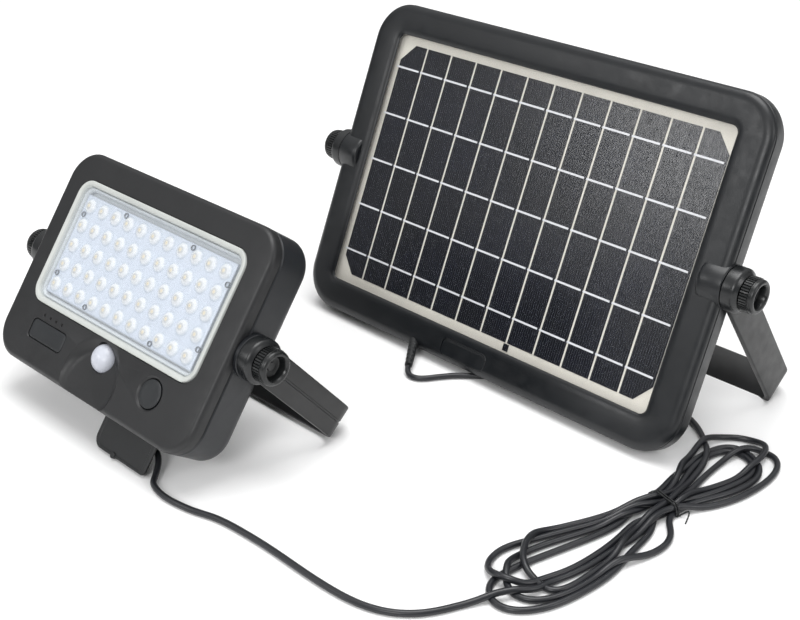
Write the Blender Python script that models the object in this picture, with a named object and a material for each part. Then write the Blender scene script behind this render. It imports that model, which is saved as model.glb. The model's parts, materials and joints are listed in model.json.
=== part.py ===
"""Solar flood light: a lamp head and a solar panel, each on a tilting U bracket, joined by a thin lead.

Each head is modelled in its own frame (x across, y up the face, z out of the face) under an empty that
leans it back.  World axes: X along the panel, Y away from the viewer, Z up, floor at Z = 0.
"""
import math

import bmesh
import bpy
from mathutils import Matrix, Vector

MM = 0.001
GAP = 0.3                                   # clearance between touching pieces, mm
CORNER_STEPS = 4                            # facets in each quarter round of a rounded rectangle

# ---- driving dimensions, mm and degrees ------------------------------------------------------------
SET_CENTRE = (-31.9, -80.4)                 # middle of the rigid pieces' footprint, moved to X = Y = 0

LAMP_WIDTH, LAMP_HEIGHT, LAMP_CORNER = 184.6, 132.5, 19.0
LAMP_MID_Y = -10.0                          # middle of the case, below the middle of the lens
LAMP_FACE, LAMP_SEAM, LAMP_BACK = 1.5, -6.2, -30.5
LAMP_PLACE = (-113.0, -199.8, 89.0)
LAMP_LEAN = 36.6
LAMP_PIVOT = (-10.0, -15.0)                 # y, z of the tilt axis in the head
LAMP_BRACKET_BACK = 40.8                    # angle of the arms behind vertical
LAMP_STRAP = (20.5, 4.0)                    # width, thickness
LAMP_ARM_X = 104.0                          # outer face of the arms

LENS_WIDTH, LENS_HEIGHT, LENS_CORNER, LENS_MID_Y = 154.0, 79.2, 10.4, 0.65
LED_COLUMNS, LED_ROWS, LED_PITCH = 11, 5, 12.6
LED_SHIFT_X = -1.2

DOME_Y, DOME_RADIUS = -49.5, 8.6
SCOOP_RADIUS, SCOOP_FLOOR_RADIUS, SCOOP_FLOOR = 23.0, 9.6, -4.2
BUTTON_X, BUTTON_Y, BUTTON_RADIUS = 50.2, -52.6, 8.4
KEY_X, KEY_Y, KEY_WIDTH, KEY_HEIGHT, KEY_CORNER = -48.9, -54.2, 33.4, 11.6, 3.0
DOT_Y, DOT_PITCH, DOT_RADIUS = -44.7, 5.9, 0.9

FLAP_X, FLAP_WIDTH, FLAP_LENGTH, FLAP_THICK, FLAP_Z = 31.3, 48.0, 20.2, 2.0, -16.0
PLUG_X, PLUG_Y, PLUG_Z = 34.0, -82.2, -22.4

PANEL_WIDTH, PANEL_HEIGHT, PANEL_CORNER = 297.0, 208.0, 25.0
PANEL_MID_Y = -0.5
PANEL_FACE, PANEL_SEAM, PANEL_SIDE_END, PANEL_BACK = 4.6, -9.0, -12.5, -14.0
PANEL_PLACE = (-4.7, 4.8)
PANEL_LEAN = 23.3
PANEL_PIVOT = (0.0, -5.0)
PANEL_BRACKET_BACK = 36.5
PANEL_STRAP = (22.5, 3.5)
PANEL_ARM_X = 152.4
WINDOW_WIDTH, WINDOW_HEIGHT, WINDOW_CORNER = 253.8, 167.6, 4.5
GLASS_WIDTH, GLASS_HEIGHT = 262.0, 176.6
CELL_COUNT, CELL_PITCH, CELL_HEIGHT, CELL_GAP, CELL_CHAMFER = 12, 20.9, 156.75, 1.0, 11.0
BADGE_X, BADGE_Y, BADGE_WIDTH, BADGE_HEIGHT, BADGE_CORNER = -4.0, -95.2, 36.0, 11.6, 4.0

HUB_RADIUS, HUB_BORE = 13.0, 3.3
KNOB_RADIUS, KNOB_LENGTH, KNOB_HOLLOW = 10.3, 8.6, 6.6
SHAFT_RADIUS = 2.9
CROSSBAR_HOLE_RADIUS = 2.6

CORD_RADIUS = 1.8
CORD_REST = CORD_RADIUS + 0.1               # height of the middle of a lead that lies on the floor
HANK_THICK = 12.0


# ---- materials -------------------------------------------------------------------------------------
def material(name, rgb, roughness, metallic=0.0):
    made = bpy.data.materials.new(name)
    made.use_nodes = True
    shader = made.node_tree.nodes["Principled BSDF"]
    shader.inputs["Base Color"].default_value = (*rgb, 1.0)
    shader.inputs["Roughness"].default_value = roughness
    shader.inputs["Metallic"].default_value = metallic
    return made


# ---- building blocks -------------------------------------------------------------------------------
def outline(width, height, corner, z, mid_x=0.0, mid_y=0.0, steps=CORNER_STEPS):
    """Rounded rectangle, anticlockwise seen from +z, in mm."""
    points = []
    for sign_x, sign_y, start in ((1, 1, 0), (-1, 1, 90), (-1, -1, 180), (1, -1, 270)):
        for step in range(steps + 1):
            angle = math.radians(start + 90 * step / steps)
            points.append(Vector((mid_x + sign_x * (width / 2 - corner) + corner * math.cos(angle),
                                  mid_y + sign_y * (height / 2 - corner) + corner * math.sin(angle), z)))
    return points


def add_object(name, mesh, look, parent, location=(0, 0, 0)):
    made = bpy.data.objects.new(name, mesh)
    bpy.context.scene.collection.objects.link(made)
    made.parent = parent
    made.location = Vector(location) * MM
    if look is not None:
        mesh.materials.append(look)
    return made


def finish_mesh(name, bm):
    bmesh.ops.remove_doubles(bm, verts=bm.verts, dist=0.00001)
    bmesh.ops.recalc_face_normals(bm, faces=bm.faces)
    mesh = bpy.data.meshes.new(name)
    bm.to_mesh(mesh)
    bm.free()
    mesh.shade_smooth()
    mesh.set_sharp_from_angle(angle=math.radians(30))
    return mesh


def loft(name, loops, look, parent, ring=False, location=(0, 0, 0)):
    """Skin a solid through loops of equal length; ring joins the last loop back to the first."""
    bm = bmesh.new()
    rows = [[bm.verts.new(point * MM) for point in loop] for loop in loops]
    count = len(rows[0])
    pairs = list(zip(rows, rows[1:])) + ([(rows[-1], rows[0])] if ring else [])
    for low, high in pairs:
        for i in range(count):
            j = (i + 1) % count
            bm.faces.new((low[i], low[j], high[j], high[i]))
    if not ring:
        bm.faces.new(rows[0])
        bm.faces.new(rows[-1])
    return add_object(name, finish_mesh(name, bm), look, parent, location)


def slab(name, width, height, corner, low, high, look, parent, mid=(0.0, 0.0)):
    loops = [outline(width, height, corner, z, *mid) for z in (low, high)]
    return loft(name, loops, look, parent)


def block(name, size, middle, look, parent):
    bm = bmesh.new()
    bmesh.ops.create_cube(bm, size=1.0)
    bmesh.ops.scale(bm, vec=Vector(size) * MM, verts=bm.verts)
    bmesh.ops.translate(bm, vec=Vector(middle) * MM, verts=bm.verts)
    return add_object(name, finish_mesh(name, bm), look, parent)


def turned(name, profile, look, parent, location=(0, 0, 0), axis="Z", steps=24, ring=False):
    """Turn a profile of (distance along the axis, radius) points about the axis."""
    bm = bmesh.new()
    rows = []
    for along, radius in profile:
        if radius == 0:
            rows.append([bm.verts.new((0, 0, along * MM))])
            continue
        angles = [2 * math.pi * i / steps for i in range(steps)]
        rows.append([bm.verts.new((radius * MM * math.cos(a), radius * MM * math.sin(a), along * MM))
                     for a in angles])
    pairs = list(zip(rows, rows[1:])) + ([(rows[-1], rows[0])] if ring else [])
    for low, high in pairs:
        if len(low) == len(high) == 1:
            continue
        for i in range(steps):
            j = (i + 1) % steps
            corners = [low[i % len(low)], low[j % len(low)], high[j % len(high)], high[i % len(high)]]
            bm.faces.new(list(dict.fromkeys(corners)))
    for row in ([] if ring else (rows[0], rows[-1])):
        if len(row) > 1:
            bm.faces.new(row)
    turn = {"X": Matrix.Rotation(math.radians(90), 4, "Y"),
            "-X": Matrix.Rotation(math.radians(-90), 4, "Y"),
            "-Y": Matrix.Rotation(math.radians(90), 4, "X"), "Z": Matrix.Identity(4)}[axis]
    bmesh.ops.transform(bm, matrix=turn, verts=bm.verts)
    return add_object(name, finish_mesh(name, bm), look, parent, location)


def rod(name, radius, low, high, look, parent, location=(0, 0, 0), axis="Z", steps=24):
    return turned(name, [(low, radius), (high, radius)], look, parent, location, axis, steps)


def combine(target, other, operation):
    """Join or cut with a helper object, which is left out of the model."""
    other.hide_render = True
    other.display_type = "WIRE"
    modifier = target.modifiers.new(f"{operation.lower()}_{other.name}", "BOOLEAN")
    modifier.object = other
    modifier.operation = operation
    modifier.solver = "EXACT"


def cut(target, *others):
    for other in others:
        combine(target, other, "DIFFERENCE")


def join(target, *others):
    for other in others:
        combine(target, other, "UNION")


def empty(name, parent, location=(0, 0, 0), turn_x=0.0):
    made = bpy.data.objects.new(name, None)
    bpy.context.scene.collection.objects.link(made)
    made.parent = parent
    made.location = Vector(location) * MM
    made.rotation_euler = (math.radians(turn_x), 0, 0)
    return made


def leaned(place, lean, y, z):
    """World Y and Z, in mm, of a point of a head that leans back."""
    s, c = math.sin(math.radians(lean)), math.cos(math.radians(lean))
    return place[1] + y * s - z * c, place[2] + y * c + z * s


# ---- pieces both heads share -----------------------------------------------------------------------
def bracket(name, pivot, arm_x, strap, length, hub_inner, hub_outer, hole_x, look):
    """Flat strap bent to a U, with a round hub at each end; arms run down local -Z from the axis."""
    width, thick = strap
    bend = 9.0
    middle_x = arm_x - thick / 2
    path = [(-middle_x, 0.0, -1.0, 0.0)]
    for side in (-1, 1):
        for step in range(CORNER_STEPS + 1):
            turn = math.radians(90 * (step if side < 0 else CORNER_STEPS - step) / CORNER_STEPS)
            out_x, out_z = side * math.cos(turn), -math.sin(turn)
            path.append((side * (middle_x - bend) + bend * out_x, -(length - thick / 2 - bend) + bend * out_z,
                         out_x, out_z))
    path.append((middle_x, 0.0, 1.0, 0.0))
    loops = []
    for x, z, out_x, out_z in path:
        half = thick / 2
        loops.append([Vector((x + k * half * out_x, w * width / 2, z + k * half * out_z))
                      for k, w in ((1, -1), (1, 1), (-1, 1), (-1, -1))])
    made = loft(name, loops, look, pivot)
    for side, axis in ((-1, "-X"), (1, "X")):
        hub = turned(f"{name}_hub_{axis}", [(hub_inner, HUB_RADIUS), (hub_outer - 1.2, HUB_RADIUS),
                                            (hub_outer, HUB_RADIUS - 1.2)], None, pivot, axis=axis)
        join(made, hub)
        cut(made, rod(f"{name}_bore_{axis}", HUB_BORE, hub_inner - 3, hub_outer + 3, None, pivot, axis=axis))
        cut(made, rod(f"{name}_hole_{axis}", CROSSBAR_HOLE_RADIUS, -length - 3, -length + thick + 3, None,
                      pivot, location=(side * hole_x, 0, 0), steps=12))
    return made


def knob(name, head, pivot, base, depth, axis, look):
    """Hollow-ended hand knob with its threaded shaft, turned about the tilt axis."""
    end = base + KNOB_LENGTH
    profile = [(depth, 0), (depth, SHAFT_RADIUS), (base, SHAFT_RADIUS), (base, KNOB_RADIUS - 1.0),
               (base + 1.2, KNOB_RADIUS), (end - 1.2, KNOB_RADIUS), (end, KNOB_RADIUS - 1.2),
               (end, KNOB_HOLLOW), (end - 5.5, KNOB_HOLLOW - 0.8), (end - 5.5, 0)]
    return turned(name, profile, look, head, location=(0, *pivot), axis=axis)


def case_screw(name, x, y, back, tip, look, head):
    """Countersunk screw put in from the back."""
    profile = [(back + 0.7, 0), (back + 0.7, 2.9), (back + 2.5, 2.9), (back + 2.5, 1.5), (tip, 1.5), (tip, 0)]
    return turned(name, profile, look, head, location=(x, y, 0), steps=12)


def screw_post(cover, x, y, floor, top, back, head):
    join(cover, rod(f"post_{cover.name}_{x}_{y}", 4.0, floor, top, None, head, (x, y, 0), steps=16))
    cut(cover, rod(f"pilot_{cover.name}_{x}_{y}", 1.9, back - 2, top + 2, None, head, (x, y, 0), steps=12),
        rod(f"sink_{cover.name}_{x}_{y}", 3.3, back - 2, back + 2.9, None, head, (x, y, 0), steps=12))


# ---- lamp head -------------------------------------------------------------------------------------
def lamp_case(head, looks):
    mid = (0.0, LAMP_MID_Y)

    def ring_at(inset, z):
        return outline(LAMP_WIDTH - 2 * inset, LAMP_HEIGHT - 2 * inset, LAMP_CORNER - inset, z, *mid)

    def lens_edge(z):
        return outline(LENS_WIDTH, LENS_HEIGHT, LENS_CORNER, z, 0.0, LENS_MID_Y)

    front = loft("lamp_front_cover", [
        ring_at(0, LAMP_SEAM), ring_at(0, -1.4), ring_at(0.9, 0.6), ring_at(2.8, LAMP_FACE),
        lens_edge(LAMP_FACE), lens_edge(-1.0), ring_at(2.5, -1.0), ring_at(2.5, LAMP_SEAM)],
        looks["case"], head, ring=True)
    wall_y = LENS_MID_Y - LENS_HEIGHT / 2 - 1.2
    funnel = turned("scoop_wall", [(-5.7, 0), (-5.7, SCOOP_FLOOR_RADIUS + 2.4), (-0.9, SCOOP_RADIUS - 2.0),
                                   (-0.9, 0)], None, head, (0, DOME_Y, 0), steps=30)
    trim = block("scoop_wall_trim", (80, 40, 30), (0, wall_y + 1.2 + 20 - GAP, -3), None, head)
    cut(funnel, trim)
    slope = (SCOOP_RADIUS - SCOOP_FLOOR_RADIUS) / (LAMP_FACE - SCOOP_FLOOR)
    hollow = turned("scoop", [(SCOOP_FLOOR, 0), (SCOOP_FLOOR, SCOOP_FLOOR_RADIUS),
                              (LAMP_FACE + 1, SCOOP_RADIUS + slope), (LAMP_FACE + 1, 0)],
                    None, head, (0, DOME_Y, 0), steps=32)
    keep = block("scoop_trim", (90, 40, 30), (0, wall_y + 20, -3), None, head)
    cut(hollow, keep)
    cut(front, rod("button_hole", BUTTON_RADIUS + GAP, -9, 3, None, head, (BUTTON_X, BUTTON_Y, 0), steps=32),
        slab("key_hole", KEY_WIDTH + 2 * GAP, KEY_HEIGHT + 2 * GAP, KEY_CORNER + GAP, -9, 3, None, head,
             (KEY_X, KEY_Y)))
    for index in range(4):
        x = KEY_X + (index - 1.5) * DOT_PITCH
        cut(front, rod(f"dot_hole_{index}", DOT_RADIUS + 0.2, -9, 3, None, head, (x, DOT_Y, 0), steps=8))
    for axis in ("-X", "X"):
        cut(front, rod(f"lamp_boss_room_{axis}", HUB_RADIUS + GAP, 80, 100, None, head, (0, *LAMP_PIVOT),
                       axis=axis))
    join(front, funnel)
    cut(front, hollow, rod("dome_hole", DOME_RADIUS + GAP, -9, 3, None, head, (0, DOME_Y, 0), steps=26))

    rear = loft("lamp_rear_cover", [
        ring_at(6.0, LAMP_BACK + 2.4), ring_at(2.9, LAMP_BACK + 4.6), ring_at(2.8, LAMP_SEAM - GAP),
        ring_at(0.6, LAMP_SEAM - GAP), ring_at(0.1, LAMP_SEAM - 1.2), ring_at(0.3, LAMP_BACK + 5.5),
        ring_at(1.9, LAMP_BACK + 1.6), ring_at(5.5, LAMP_BACK)], looks["case"], head)
    for axis in ("-X", "X"):
        join(rear, rod(f"lamp_boss_{axis}", HUB_RADIUS, LAMP_WIDTH / 2 - 2.5, LAMP_WIDTH / 2 + 2.4, None,
                       head, (0, *LAMP_PIVOT), axis=axis))
        cut(rear, rod(f"lamp_boss_bore_{axis}", HUB_BORE, 75, 100, None, head, (0, *LAMP_PIVOT),
                      axis=axis))
    post_x, post_y = LAMP_WIDTH / 2 - 10, LAMP_HEIGHT / 2 - 10
    for index, (sx, sy) in enumerate(((-1, 1), (1, 1), (-1, -1), (1, -1)), 1):
        x, y = sx * post_x, LAMP_MID_Y + sy * post_y
        screw_post(rear, x, y, LAMP_BACK + 2, -8.0, LAMP_BACK, head)
        case_screw(f"lamp_screw_{index}", x, y, LAMP_BACK, -9.0, looks["steel"], head)
    bottom = LAMP_MID_Y - LAMP_HEIGHT / 2
    cut(rear, block("socket_hole", (12.4, 12, 10.4), (PLUG_X, bottom, PLUG_Z), None, head))
    loft("lamp_seal", [ring_at(3.0, -8.0), ring_at(3.0, -5.2), ring_at(4.9, -5.2), ring_at(4.9, -8.0)],
         looks["rubber"], head, ring=True)


def lamp_optics(head, looks):
    mid = (0.0, LENS_MID_Y)

    def edge(inset, z):
        return outline(LENS_WIDTH - 2 * inset, LENS_HEIGHT - 2 * inset, LENS_CORNER - inset, z, *mid)

    loft("lens_rim", [edge(GAP, -1.0), edge(GAP, 2.0), edge(0.8, 2.5), edge(2.6, 2.5), edge(3.7, 1.9),
                      edge(3.7, -1.0)], looks["rim"], head, ring=True)
    loft("lens_window", [edge(4.0, 0.6), edge(4.0, 1.6)], looks["clear"], head)
    loft("reflector_frame", [edge(2.2, -3.4), edge(2.2, -1.3), edge(4.8, -1.3), edge(5.6, -3.4)],
         looks["white"], head, ring=True)
    slab("led_board", LENS_WIDTH - 4.4, LENS_HEIGHT - 4.4, 8.0, -5.6, -3.9, looks["white"], head, mid)

    bm = bmesh.new()
    half_x, half_y = LED_COLUMNS * LED_PITCH / 2, LED_ROWS * LED_PITCH / 2
    xs = [-half_x + i * LED_PITCH for i in range(LED_COLUMNS + 1)]
    ys = [-half_y + i * LED_PITCH for i in range(LED_ROWS + 1)]
    grid = [[bm.verts.new(Vector((LED_SHIFT_X + x, y, -2.2)) * MM) for x in xs] for y in ys]
    low = [[bm.verts.new(Vector((LED_SHIFT_X + x, y, -3.3)) * MM) for x in xs] for y in ys]
    for j in range(LED_ROWS):
        for i in range(LED_COLUMNS):
            corners = (grid[j][i], grid[j][i + 1], grid[j + 1][i + 1], grid[j + 1][i])
            lens_bump(bm, corners, xs[i] + LED_PITCH / 2 + LED_SHIFT_X, ys[j] + LED_PITCH / 2)
            bm.faces.new((low[j][i], low[j + 1][i], low[j + 1][i + 1], low[j][i + 1]))
    border = ([(0, i) for i in range(LED_COLUMNS + 1)] + [(j, LED_COLUMNS) for j in range(1, LED_ROWS + 1)]
              + [(LED_ROWS, i) for i in range(LED_COLUMNS - 1, -1, -1)]
              + [(j, 0) for j in range(LED_ROWS - 1, 0, -1)])
    for (j0, i0), (j1, i1) in zip(border, border[1:] + border[:1]):
        bm.faces.new((low[j0][i0], low[j1][i1], grid[j1][i1], grid[j0][i0]))
    add_object("lens_array", finish_mesh("lens_array", bm), looks["clear"], head)


def lens_bump(bm, corners, x, y):
    """One round lens raised from a square of the plate, eight-sided."""
    angles = [math.radians(-157.5 + 45 * i) for i in range(8)]
    foot = [bm.verts.new(Vector((x + 3.3 * math.cos(a), y + 3.3 * math.sin(a), -2.2)) * MM) for a in angles]
    crown = [bm.verts.new(Vector((x + 1.9 * math.cos(a), y + 1.9 * math.sin(a), 0.1)) * MM) for a in angles]
    for i in range(8):
        bm.faces.new((foot[i], foot[(i + 1) % 8], crown[(i + 1) % 8], crown[i]))
    for i in range(4):
        nearest = corners[i]
        bm.faces.new((nearest, foot[(2 * i + 1) % 8], foot[2 * i]))
        bm.faces.new((nearest, corners[(i + 1) % 4], foot[(2 * i + 2) % 8], foot[(2 * i + 1) % 8]))
    bm.faces.new(crown)


def lamp_controls(head, looks):
    turned("pir_dome", [(-7.4, 10.0), (-6.0, 10.0), (-6.0, DOME_RADIUS), (-4.0, DOME_RADIUS), (-1.4, 7.9),
                        (1.2, 6.0), (2.7, 3.2), (3.2, 0), (2.2, 0), (0.4, 5.0), (-4.0, 7.3), (-7.4, 7.3)],
           looks["dome"], head, (0, DOME_Y, 0), ring=True)
    turned("pir_sensor", [(-9.2, 0), (-9.2, 4.4), (-8.6, 4.4), (-8.6, 3.9), (-5.4, 3.9), (-5.4, 0)],
           looks["steel"], head, (0, DOME_Y, 0), steps=16)
    turned("power_button", [(-4.6, 0), (-4.6, 9.6), (-3.4, 9.6), (-3.4, BUTTON_RADIUS), (0.9, BUTTON_RADIUS),
                            (1.5, BUTTON_RADIUS - 0.7), (1.5, 0)], looks["button"], head,
           (BUTTON_X, BUTTON_Y, 0))
    key = [(1.2, -4.2), (1.2, -3.2), (0, -3.2), (0, 0.9), (-0.6, 1.4)]
    loft("mode_button", [outline(KEY_WIDTH + 2 * grow, KEY_HEIGHT + 2 * grow, KEY_CORNER + grow, z, KEY_X,
                                 KEY_Y) for grow, z in key], looks["button"], head)
    pipe = block("indicator_light_pipe", (3 * DOT_PITCH + 4, 2.6, 1.6), (KEY_X, DOT_Y, -5.4), looks["pipe"],
                 head)
    for index in range(4):
        join(pipe, rod(f"light_pipe_pin_{index}", DOT_RADIUS, -5.4, 1.2, None, head,
                       (KEY_X + (index - 1.5) * DOT_PITCH, DOT_Y, 0), steps=8))
    board = block("control_board", (132, 24, 1.6), (0, -58.5, -10.4), looks["board"], head)
    for name, x, y, size in (("button_switch", BUTTON_X, BUTTON_Y, (6, 6, 4.0)),
                             ("key_switch", KEY_X, KEY_Y, (6, 6, 4.4))):
        join(board, block(name, size, (x, y, -9.8 + size[2] / 2), None, head))
    cut(board, block("board_socket_clearance", (15, 14, 6), (PLUG_X, -70, -10.4), None, head))


def lamp_power(head, looks):
    cell_y, cell_z, cell_radius, cell_length = 18.0, -17.0, 9.1, 65.0
    holder = block("battery_holder", (140, 22.5, 12), (0, cell_y, -21.6), looks["case"], head)
    cut(holder, block("holder_hollow", (136.5, 19.6, 12), (0, cell_y, -20.4), None, head))
    for side, index in ((-1, 1), (1, 2)):
        rod(f"battery_cell_{index}", cell_radius, -cell_length / 2, cell_length / 2, looks["cell_wrap"], head,
            (side * 33.6, cell_y, cell_z), axis="X", steps=20)
    socket = block("dc_socket", (11.6, 11.0, 9.6), (PLUG_X, -70.6, PLUG_Z), looks["socket"], head)
    cut(socket, rod("socket_bore", 3.1, -11.3, 2, None, head, (PLUG_X, -78.0, PLUG_Z), axis="-Y", steps=12))


def lamp_port(head, looks):
    """Rubber port cover that hangs down in front of the plug, its hinge along the top edge."""
    top = LAMP_MID_Y - LAMP_HEIGHT / 2 - 0.5
    hinge = empty("port_cover_hinge", head, (FLAP_X, top, FLAP_Z))
    middle = (0.0, -FLAP_LENGTH / 2)
    loops = [outline(FLAP_WIDTH - 2 * inset, FLAP_LENGTH - 2 * inset, 5.0 - inset, z, *middle)
             for inset, z in ((0.6, -FLAP_THICK / 2), (0, -0.4), (0, 0.4), (0.6, FLAP_THICK / 2))]
    flap = loft("port_cover", loops, looks["rubber"], hinge)
    join(flap, rod("pull_tab", 1.9, -0.9, 1.5, None, hinge, (-4.5, 0.9 - FLAP_LENGTH, 0), steps=12))

    plug = block("dc_plug", (10.4, 9.6, 8.6), (PLUG_X, PLUG_Y, PLUG_Z), looks["rubber"], head)
    join(plug, rod("plug_pin", 2.7, -9, 8, None, head, (PLUG_X, PLUG_Y + 5.5, PLUG_Z), axis="-Y", steps=12),
         turned("plug_sleeve", [(0, 3.4), (5.5, 3.2), (12.0, 2.4)], None, head,
                (PLUG_X, PLUG_Y - 0.6, PLUG_Z), axis="X", steps=12))


# ---- solar panel head ------------------------------------------------------------------------------
def panel_case(head, looks):
    mid = (0.0, PANEL_MID_Y)

    def ring_at(inset, z):
        return outline(PANEL_WIDTH - 2 * inset, PANEL_HEIGHT - 2 * inset, PANEL_CORNER - inset, z, *mid)

    frame = loft("panel_frame", [
        ring_at(0, PANEL_SEAM), ring_at(0, 0.2), ring_at(0.7, 2.4), ring_at(2.3, 4.0),
        ring_at(6.0, PANEL_FACE),
        outline(262, 176, 8, 4.4), outline(257, 171, 6, 3.9),
        outline(WINDOW_WIDTH, WINDOW_HEIGHT, WINDOW_CORNER, 2.9), ring_at(2.5, 2.9),
        ring_at(2.5, PANEL_SEAM)],
        looks["case"], head, ring=True)
    rear = loft("panel_rear_cover", [
        ring_at(6.0, PANEL_BACK + 2.2), ring_at(3.6, PANEL_BACK + 3.6), ring_at(3.5, PANEL_SEAM - GAP),
        ring_at(1.3, PANEL_SEAM - GAP), ring_at(1.4, PANEL_SIDE_END), ring_at(3.0, PANEL_BACK)],
        looks["case"], head)
    for axis in ("-X", "X"):
        join(frame, rod(f"panel_boss_{axis}", HUB_RADIUS + 0.5, 133.0, PANEL_WIDTH / 2 + 0.1, None, head,
                        (0, *PANEL_PIVOT), axis=axis))
        cut(rear, rod(f"rear_boss_room_{axis}", HUB_RADIUS + 0.9, 130.0, 152.0, None, head, (0, *PANEL_PIVOT),
                      axis=axis))
        cut(frame, rod(f"panel_boss_bore_{axis}", HUB_BORE, 128.0, 152.0, None, head, (0, *PANEL_PIVOT),
                       axis=axis))
    cut(frame, slab("badge_recess", BADGE_WIDTH, BADGE_HEIGHT, BADGE_CORNER, 3.9, 6.0, None, head,
                    (BADGE_X, BADGE_Y)))
    slab("panel_badge", BADGE_WIDTH - 0.6, BADGE_HEIGHT - 0.6, BADGE_CORNER - GAP, 4.2, 4.5, looks["button"],
         head, (BADGE_X, BADGE_Y))
    post_x, post_y = 139.6, 74.0
    for index, (sx, sy) in enumerate(((-1, 1), (1, 1), (-1, -1), (1, -1)), 1):
        x, y = sx * post_x, PANEL_MID_Y + sy * post_y
        screw_post(rear, x, y, PANEL_BACK + 2, 1.0, PANEL_BACK, head)
        case_screw(f"panel_screw_{index}", x, y, PANEL_BACK, -0.5, looks["steel"], head)
    return frame, rear


def panel_laminate(head, looks):
    slab("panel_glass", GLASS_WIDTH, GLASS_HEIGHT, 5.0, 0.0, 2.6, looks["clear"], head)
    slab("back_sheet", GLASS_WIDTH, GLASS_HEIGHT, 5.0, -1.4, -0.8, looks["white"], head)
    edge = [(1.4, -1.6), (1.4, 2.5), (0.3, 2.5), (0.3, -1.6)]
    loft("panel_seal", [outline(GLASS_WIDTH + 2 * grow, GLASS_HEIGHT + 2 * grow, 5.0 + grow, z)
                        for grow, z in edge], looks["rubber"], head, ring=True)
    half_w, half_h = (CELL_PITCH - CELL_GAP) / 2, CELL_HEIGHT / 2
    for index in range(CELL_COUNT):
        x = (index - (CELL_COUNT - 1) / 2) * CELL_PITCH
        left = CELL_CHAMFER if index == 0 else 0.0
        right = CELL_CHAMFER if index == CELL_COUNT - 1 else 0.0
        corners = []
        for sx, sy, chamfer in ((1, 1, right), (-1, 1, left), (-1, -1, left), (1, -1, right)):
            along, across = (half_w - chamfer * 0.9) * sx, half_h * sy
            if chamfer:
                tall = (half_w * sx, (half_h - chamfer) * sy)
                flat = (along, across)
                corners += [tall, flat] if sx * sy > 0 else [flat, tall]
            else:
                corners.append((half_w * sx, across))
        loops = [[Vector((x + cx, cy, z)) for cx, cy in corners] for z in (-0.5, -0.3)]
        loft(f"cell_strip_{index + 1:02d}", loops, looks["cell"], head)
    block("junction_box", (46, 30, 8.4), (-60, -72, -6.5), looks["case"], head)


# ---- lead ------------------------------------------------------------------------------------------
def smooth(points, spacing):
    """Catmull-Rom curve through the points, read off at even spacing; mm in, mm out."""
    knots = [Vector(p) for p in points]
    knots = [2 * knots[0] - knots[1]] + knots + [2 * knots[-1] - knots[-2]]
    fine = []
    for a, b, c, d in zip(knots, knots[1:], knots[2:], knots[3:]):
        for step in range(40):
            t = step / 40
            fine.append(0.5 * (2 * b + (c - a) * t + (2 * a - 5 * b + 4 * c - d) * t * t
                               + (3 * b - a - 3 * c + d) * t ** 3))
    fine.append(knots[-2])
    lengths = [0.0]
    for a, b in zip(fine, fine[1:]):
        lengths.append(lengths[-1] + (b - a).length)
    count = max(2, round(lengths[-1] / spacing))
    even, k = [], 0
    for i in range(count + 1):
        target = lengths[-1] * i / count
        while k < len(fine) - 2 and lengths[k + 1] < target:
            k += 1
        span = lengths[k + 1] - lengths[k]
        even.append(fine[k].lerp(fine[k + 1], min(1.0, (target - lengths[k]) / span) if span else 0.0))
    return even


def tube(name, points, radius, look, parent, end_radius=None):
    curve = bpy.data.curves.new(name, "CURVE")
    curve.dimensions = "3D"
    curve.bevel_depth = radius * MM
    curve.bevel_resolution = 2
    curve.use_fill_caps = True
    spline = curve.splines.new("POLY")
    spline.points.add(len(points) - 1)
    for index, point in enumerate(points):
        spline.points[index].co = (*(point * MM), 1.0)
        if end_radius is not None:
            part = index / (len(points) - 1)
            spline.points[index].radius = 1 + (end_radius / radius - 1) * part
    return add_object(name, curve, look, parent)


LAMP_RUN = [(-66.1, -231.2, 9.2), (-61.8, -231.5, 8.7), (-57.4, -234.6, 5.8), (-53.4, -239.6, 2.9),
            (-47.6, -245.4, CORD_REST), (-33.8, -248.0, CORD_REST), (-15.7, -245.7, CORD_REST),
            (2.1, -240.6, CORD_REST), (21.7, -238.6, CORD_REST), (43.8, -238.0, CORD_REST),
            (68.1, -238.6, CORD_REST), (87.1, -238.2, CORD_REST), (102.6, -236.6, CORD_REST),
            (115.3, -232.4, CORD_REST), (126.4, -224.6, CORD_REST), (134.6, -213.4, CORD_REST),
            (140.2, -199.6, CORD_REST)]
PANEL_RUN = [(143.0, 1.8, CORD_REST), (132.0, 11.2, CORD_REST), (124.9, 15.6, CORD_REST),
             (110.0, 20.0, CORD_REST), (92.0, 19.4, CORD_REST), (72.0, 12.4, CORD_REST),
             (52.0, 1.4, CORD_REST), (33.0, -11.6, CORD_REST), (15.0, -24.6, CORD_REST),
             (1.5, -35.0, CORD_REST), (-8.4, -44.0, CORD_REST), (-14.8, -52.4, CORD_REST),
             (-19.2, -59.0, CORD_REST), (-22.9, -62.4, CORD_REST), (-27.2, -63.6, CORD_REST),
             (-31.2, -62.5, 2.6), (-34.6, -59.2, 3.6)]
BOOT_ROUTE = [(-51.5, -35.4, 8.2), (-43.4, -46.7, 6.1), (-35.3, -57.9, 4.1)]
HANK_ENDS = ((144.5, -170.5), (169.0, 1.0))
HANK_END_RADIUS = (25.0, 22.0)
HANK_WAIST = (158.6, -72.0, 11.0)
TIE_WIDTH, TIE_THICK = 3.0, 1.2


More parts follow.
